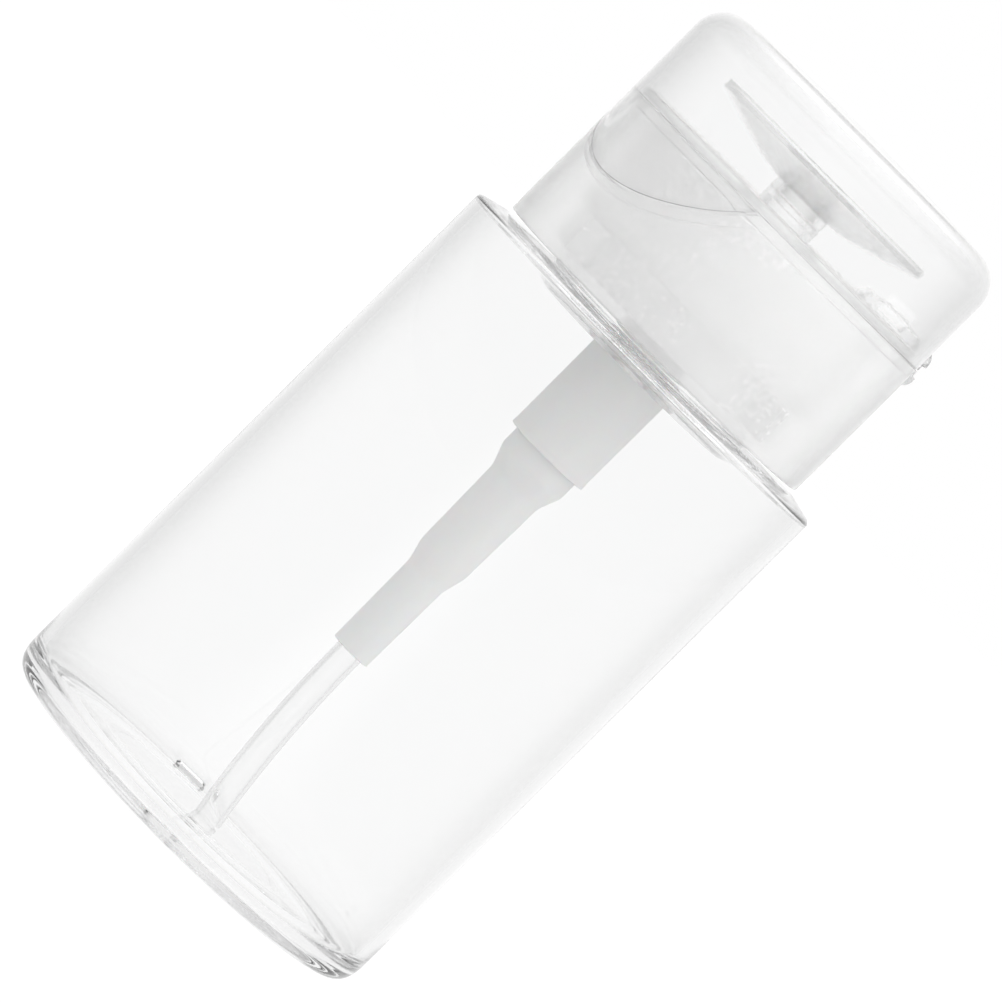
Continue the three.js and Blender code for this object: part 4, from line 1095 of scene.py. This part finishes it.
collar_columns = all_round(CLOSURE_COLUMNS, FRONT + np.array([-pocket_end, pocket_end]),
                           FRONT + np.array([-back_wall_end, back_wall_end]))


def hinge_boss(name, level, sense):
    """Half of the oval hinge pad, from a level upwards (sense 1) or downwards (sense -1).

    At each x its section runs from inside the round wall to the flat face, and reaches h (1 - (x/w)^p)^(1/p)
    from the level. The half that the film crosses is recessed."""
    width = np.sin(np.linspace(-BOSS_END, BOSS_END, BOSS_COLUMNS) * np.pi / 2)
    x = BOSS_HALF_WIDTH * width
    reach = (1 - np.abs(width) ** BOSS_SQUARENESS) ** (1 / BOSS_SQUARENESS)
    reach = (BOSS_HALF_HEIGHT - SEAM_GAP / 2) * reach
    step = np.minimum(FILM_RECESS_HALF - SEAM_GAP / 2, 0.9 * reach)
    ease = np.minimum(BOSS_FACE_EASE, 0.3 * (reach - step))
    root = np.sqrt((collar_radius - COLLAR_WALL / 2) ** 2 - x ** 2)
    face = 0 * x + boss_face
    recess = face - FILM_RECESS_DEPTH
    depths = [0 * x, 0 * x, step, step, reach - ease, reach, reach]
    outs = [root, recess, recess, face, face, face - ease, root]
    section = [np.stack([x, out, level + sense * depth], -1) for out, depth in zip(outs, depths)]
    return carried(name, np.stack(section, 1), None)


# Its third colour is a painted edge shade.
frosted_collar = see_through(
    "frosted_collar_plastic", (0.982, 0.982, 0.982, 1), (0.972, 0.972, 0.972, 1), (0.93, 0.931, 0.931, 1),
    0.18, 0.26, 0.4, transmission=0.84, cloud=90.0, bump=0.012)
# Inside the outer wall and on the hinge pad the colour is lifted to plain white, with no painted edge shade.
tint_between(frosted_collar, WHITE_NO_PAINTED_SHADE, ("R", collar_bore + BORE_SHADE_LIFT))
tint_between(frosted_collar, WHITE_NO_PAINTED_SHADE, ("R", collar_radius + PAD_SHADE_LIFT))
collar_shell = turned("collar_shell_frosted", collar_profile, frosted_collar, columns=collar_columns,
                      shape=collar_shape)
cut_or_join(collar_shell, hinge_boss("lower_boss", collar_top, -1), "UNION")
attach(collar_shell, "collar")
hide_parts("collar_shell")

# Living hinge: the film between the two bosses, moulded with them and thinned along its middle.
FILM_THINNING = 0.12
FILM_GROOVE = 0.25
FILM_ROWS = 25
FILM_COLUMNS = 33


def drawn_out(x, outline):
    """An outline of (y, z) points repeated at each place x, to be carried along the hinge's line."""
    x = x[:, None]
    return np.stack([x + 0 * outline[:, 0], outline[:, 0] + 0 * x, outline[:, 1] + 0 * x], -1)


low, high = box_mm("living_hinge")
z = np.linspace(low.z, high.z, FILM_ROWS)
thin = FILM_THINNING * np.exp(-((z - seam) / FILM_GROOVE) ** 2)
loop = np.concatenate([np.stack([high.y - thin, z], -1), np.stack([low.y + thin, z], -1)[::-1]])
film = drawn_out(np.linspace(low.x, high.x, FILM_COLUMNS), loop)
living_hinge = carried("living_hinge_frosted", film, frosted_collar)
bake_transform(living_hinge)
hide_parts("living_hinge")

# Flip lid: a thin frosted cup with round corners and a slightly domed top, moulded with its thumb tab, the
# upper half of the hinge boss and a small gusset behind the hinge. It snaps over the deck's rim.
LID_WALL = 1.1
LID_CORNER = 4.8
LID_CROWN = 0.8
LID_CORNER_ROWS = 14
LID_TOP_ROWS = 20
LID_FOOT_EASE = (0.1, 0.15)
LID_INNER_ROW = 5.0
TAB_THICKNESS = 0.6
TAB_TAPER = 2.5
TAB_EDGE_THICKNESS = 0.2
TAB_EDGE = 0.08
GUSSET_HALF = 3.5
GUSSET_DEPTH = 1.0
GUSSET_HEIGHT = 2.8
GUSSET_EDGE = (0.3, 0.4)
TAB_MARK = 1000.0
# Span below the seam where plain white takes the painted edge shade off:
TAB_SHADE_LIFT = np.array([0, -0.5])

low, high = box_mm("flip_lid")
lid_top, lid_foot = high.z, seam + SEAM_GAP / 2
lid_bore = collar_radius - LID_WALL
flat_radius = collar_radius - LID_CORNER
turn = np.linspace(0, np.pi / 2, LID_CORNER_ROWS)
corner_way = np.stack([np.cos(turn), np.sin(turn)], -1)
corner_middle = np.array([flat_radius, lid_top - LID_CROWN - LID_CORNER])
inwards = np.linspace(1, 0, LID_TOP_ROWS)[1:]
dome = np.stack([flat_radius * inwards, lid_top - LID_CROWN * inwards ** 2], -1)
tab_inner = collar_radius - TAB_THICKNESS
lid_profile = np.vstack([
    dome[::-1] - [0, LID_WALL], (corner_middle + (LID_CORNER - LID_WALL) * corner_way)[::-1],
    [[lid_bore, lid_foot + LID_INNER_ROW], [lid_bore, lid_foot + LID_FOOT_EASE[1]],
     [lid_bore + LID_FOOT_EASE[0], lid_foot], [tab_inner - LID_FOOT_EASE[0], lid_foot]],
    marked_rows(tab_inner, TAB_MARK), [[collar_radius - TAB_THICKNESS / 2, TAB_MARK + 1]],
    marked_rows(collar_radius, TAB_MARK)[::-1],
    [[collar_radius, lid_foot + BOSS_ROW_DROP]], corner_middle + LID_CORNER * corner_way, dome,
])


def lid_shape(r, z, a):
    """Marked rows hang from the lid's foot down to the tab's outline, with the tab's edge rounded off.

    Its back comes out by (1 - d/l)^2 of the tab's loss of thickness, at distance d < l from the outline."""
    reach = tab_reach(a, 0, lid_foot)
    marked = z >= TAB_MARK
    share = np.where(marked, z - TAB_MARK, 0)
    bottom = np.isclose(r, collar_radius - TAB_THICKNESS / 2) & marked
    edge = np.where(marked & (share >= 1) & ~bottom, TAB_EDGE * np.minimum(reach, 1), 0)
    taper = np.clip(1 - (1 - share) * reach / TAB_TAPER, 0, 1) ** 2 * (TAB_THICKNESS - TAB_EDGE_THICKNESS)
    r = r + np.where(marked & (r < collar_radius - TAB_THICKNESS / 4), taper * (1 - 0.5 * bottom), 0)
    return r, np.where(marked, lid_foot - share * reach - LEAST_STEP * share + edge, z)


lid_columns = all_round(CLOSURE_COLUMNS, FRONT + np.array([-1, 1]) * tab_end(0, lid_foot))
# Its third colour is a painted edge shade.
frosted_lid = see_through(
    "frosted_lid_plastic", (0.982, 0.983, 0.983, 1), (0.974, 0.975, 0.975, 1), (0.82, 0.822, 0.822, 1),
    0.04, 0.08, 0.25, 0.75, cloud=90.0)
# Over the thumb tab below the seam, and on the hinge pad, the colour is lifted to plain white, with no
# painted edge shade.
tint_between(frosted_lid, WHITE_NO_PAINTED_SHADE, ("Z", seam + TAB_SHADE_LIFT))
tint_between(frosted_lid, WHITE_NO_PAINTED_SHADE, ("R", collar_radius + PAD_SHADE_LIFT))
flip_lid = turned("flip_lid_frosted", lid_profile, frosted_lid, columns=lid_columns, shape=lid_shape)
cut_or_join(flip_lid, hinge_boss("upper_boss", lid_foot, 1), "UNION")
wedge = np.array([lid_bore, deck_top + SEAT_GAP]) + [
    [LID_WALL / 2, 0], [-GUSSET_DEPTH, 0], [GUSSET_EDGE[0] - GUSSET_DEPTH, GUSSET_EDGE[1]],
    [LID_WALL / 2, GUSSET_HEIGHT]]
gusset = carried("gusset", drawn_out(np.array([-GUSSET_HALF, GUSSET_HALF]), wedge), None)
cut_or_join(flip_lid, gusset, "UNION")
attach(flip_lid, "lid")
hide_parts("flip_lid")
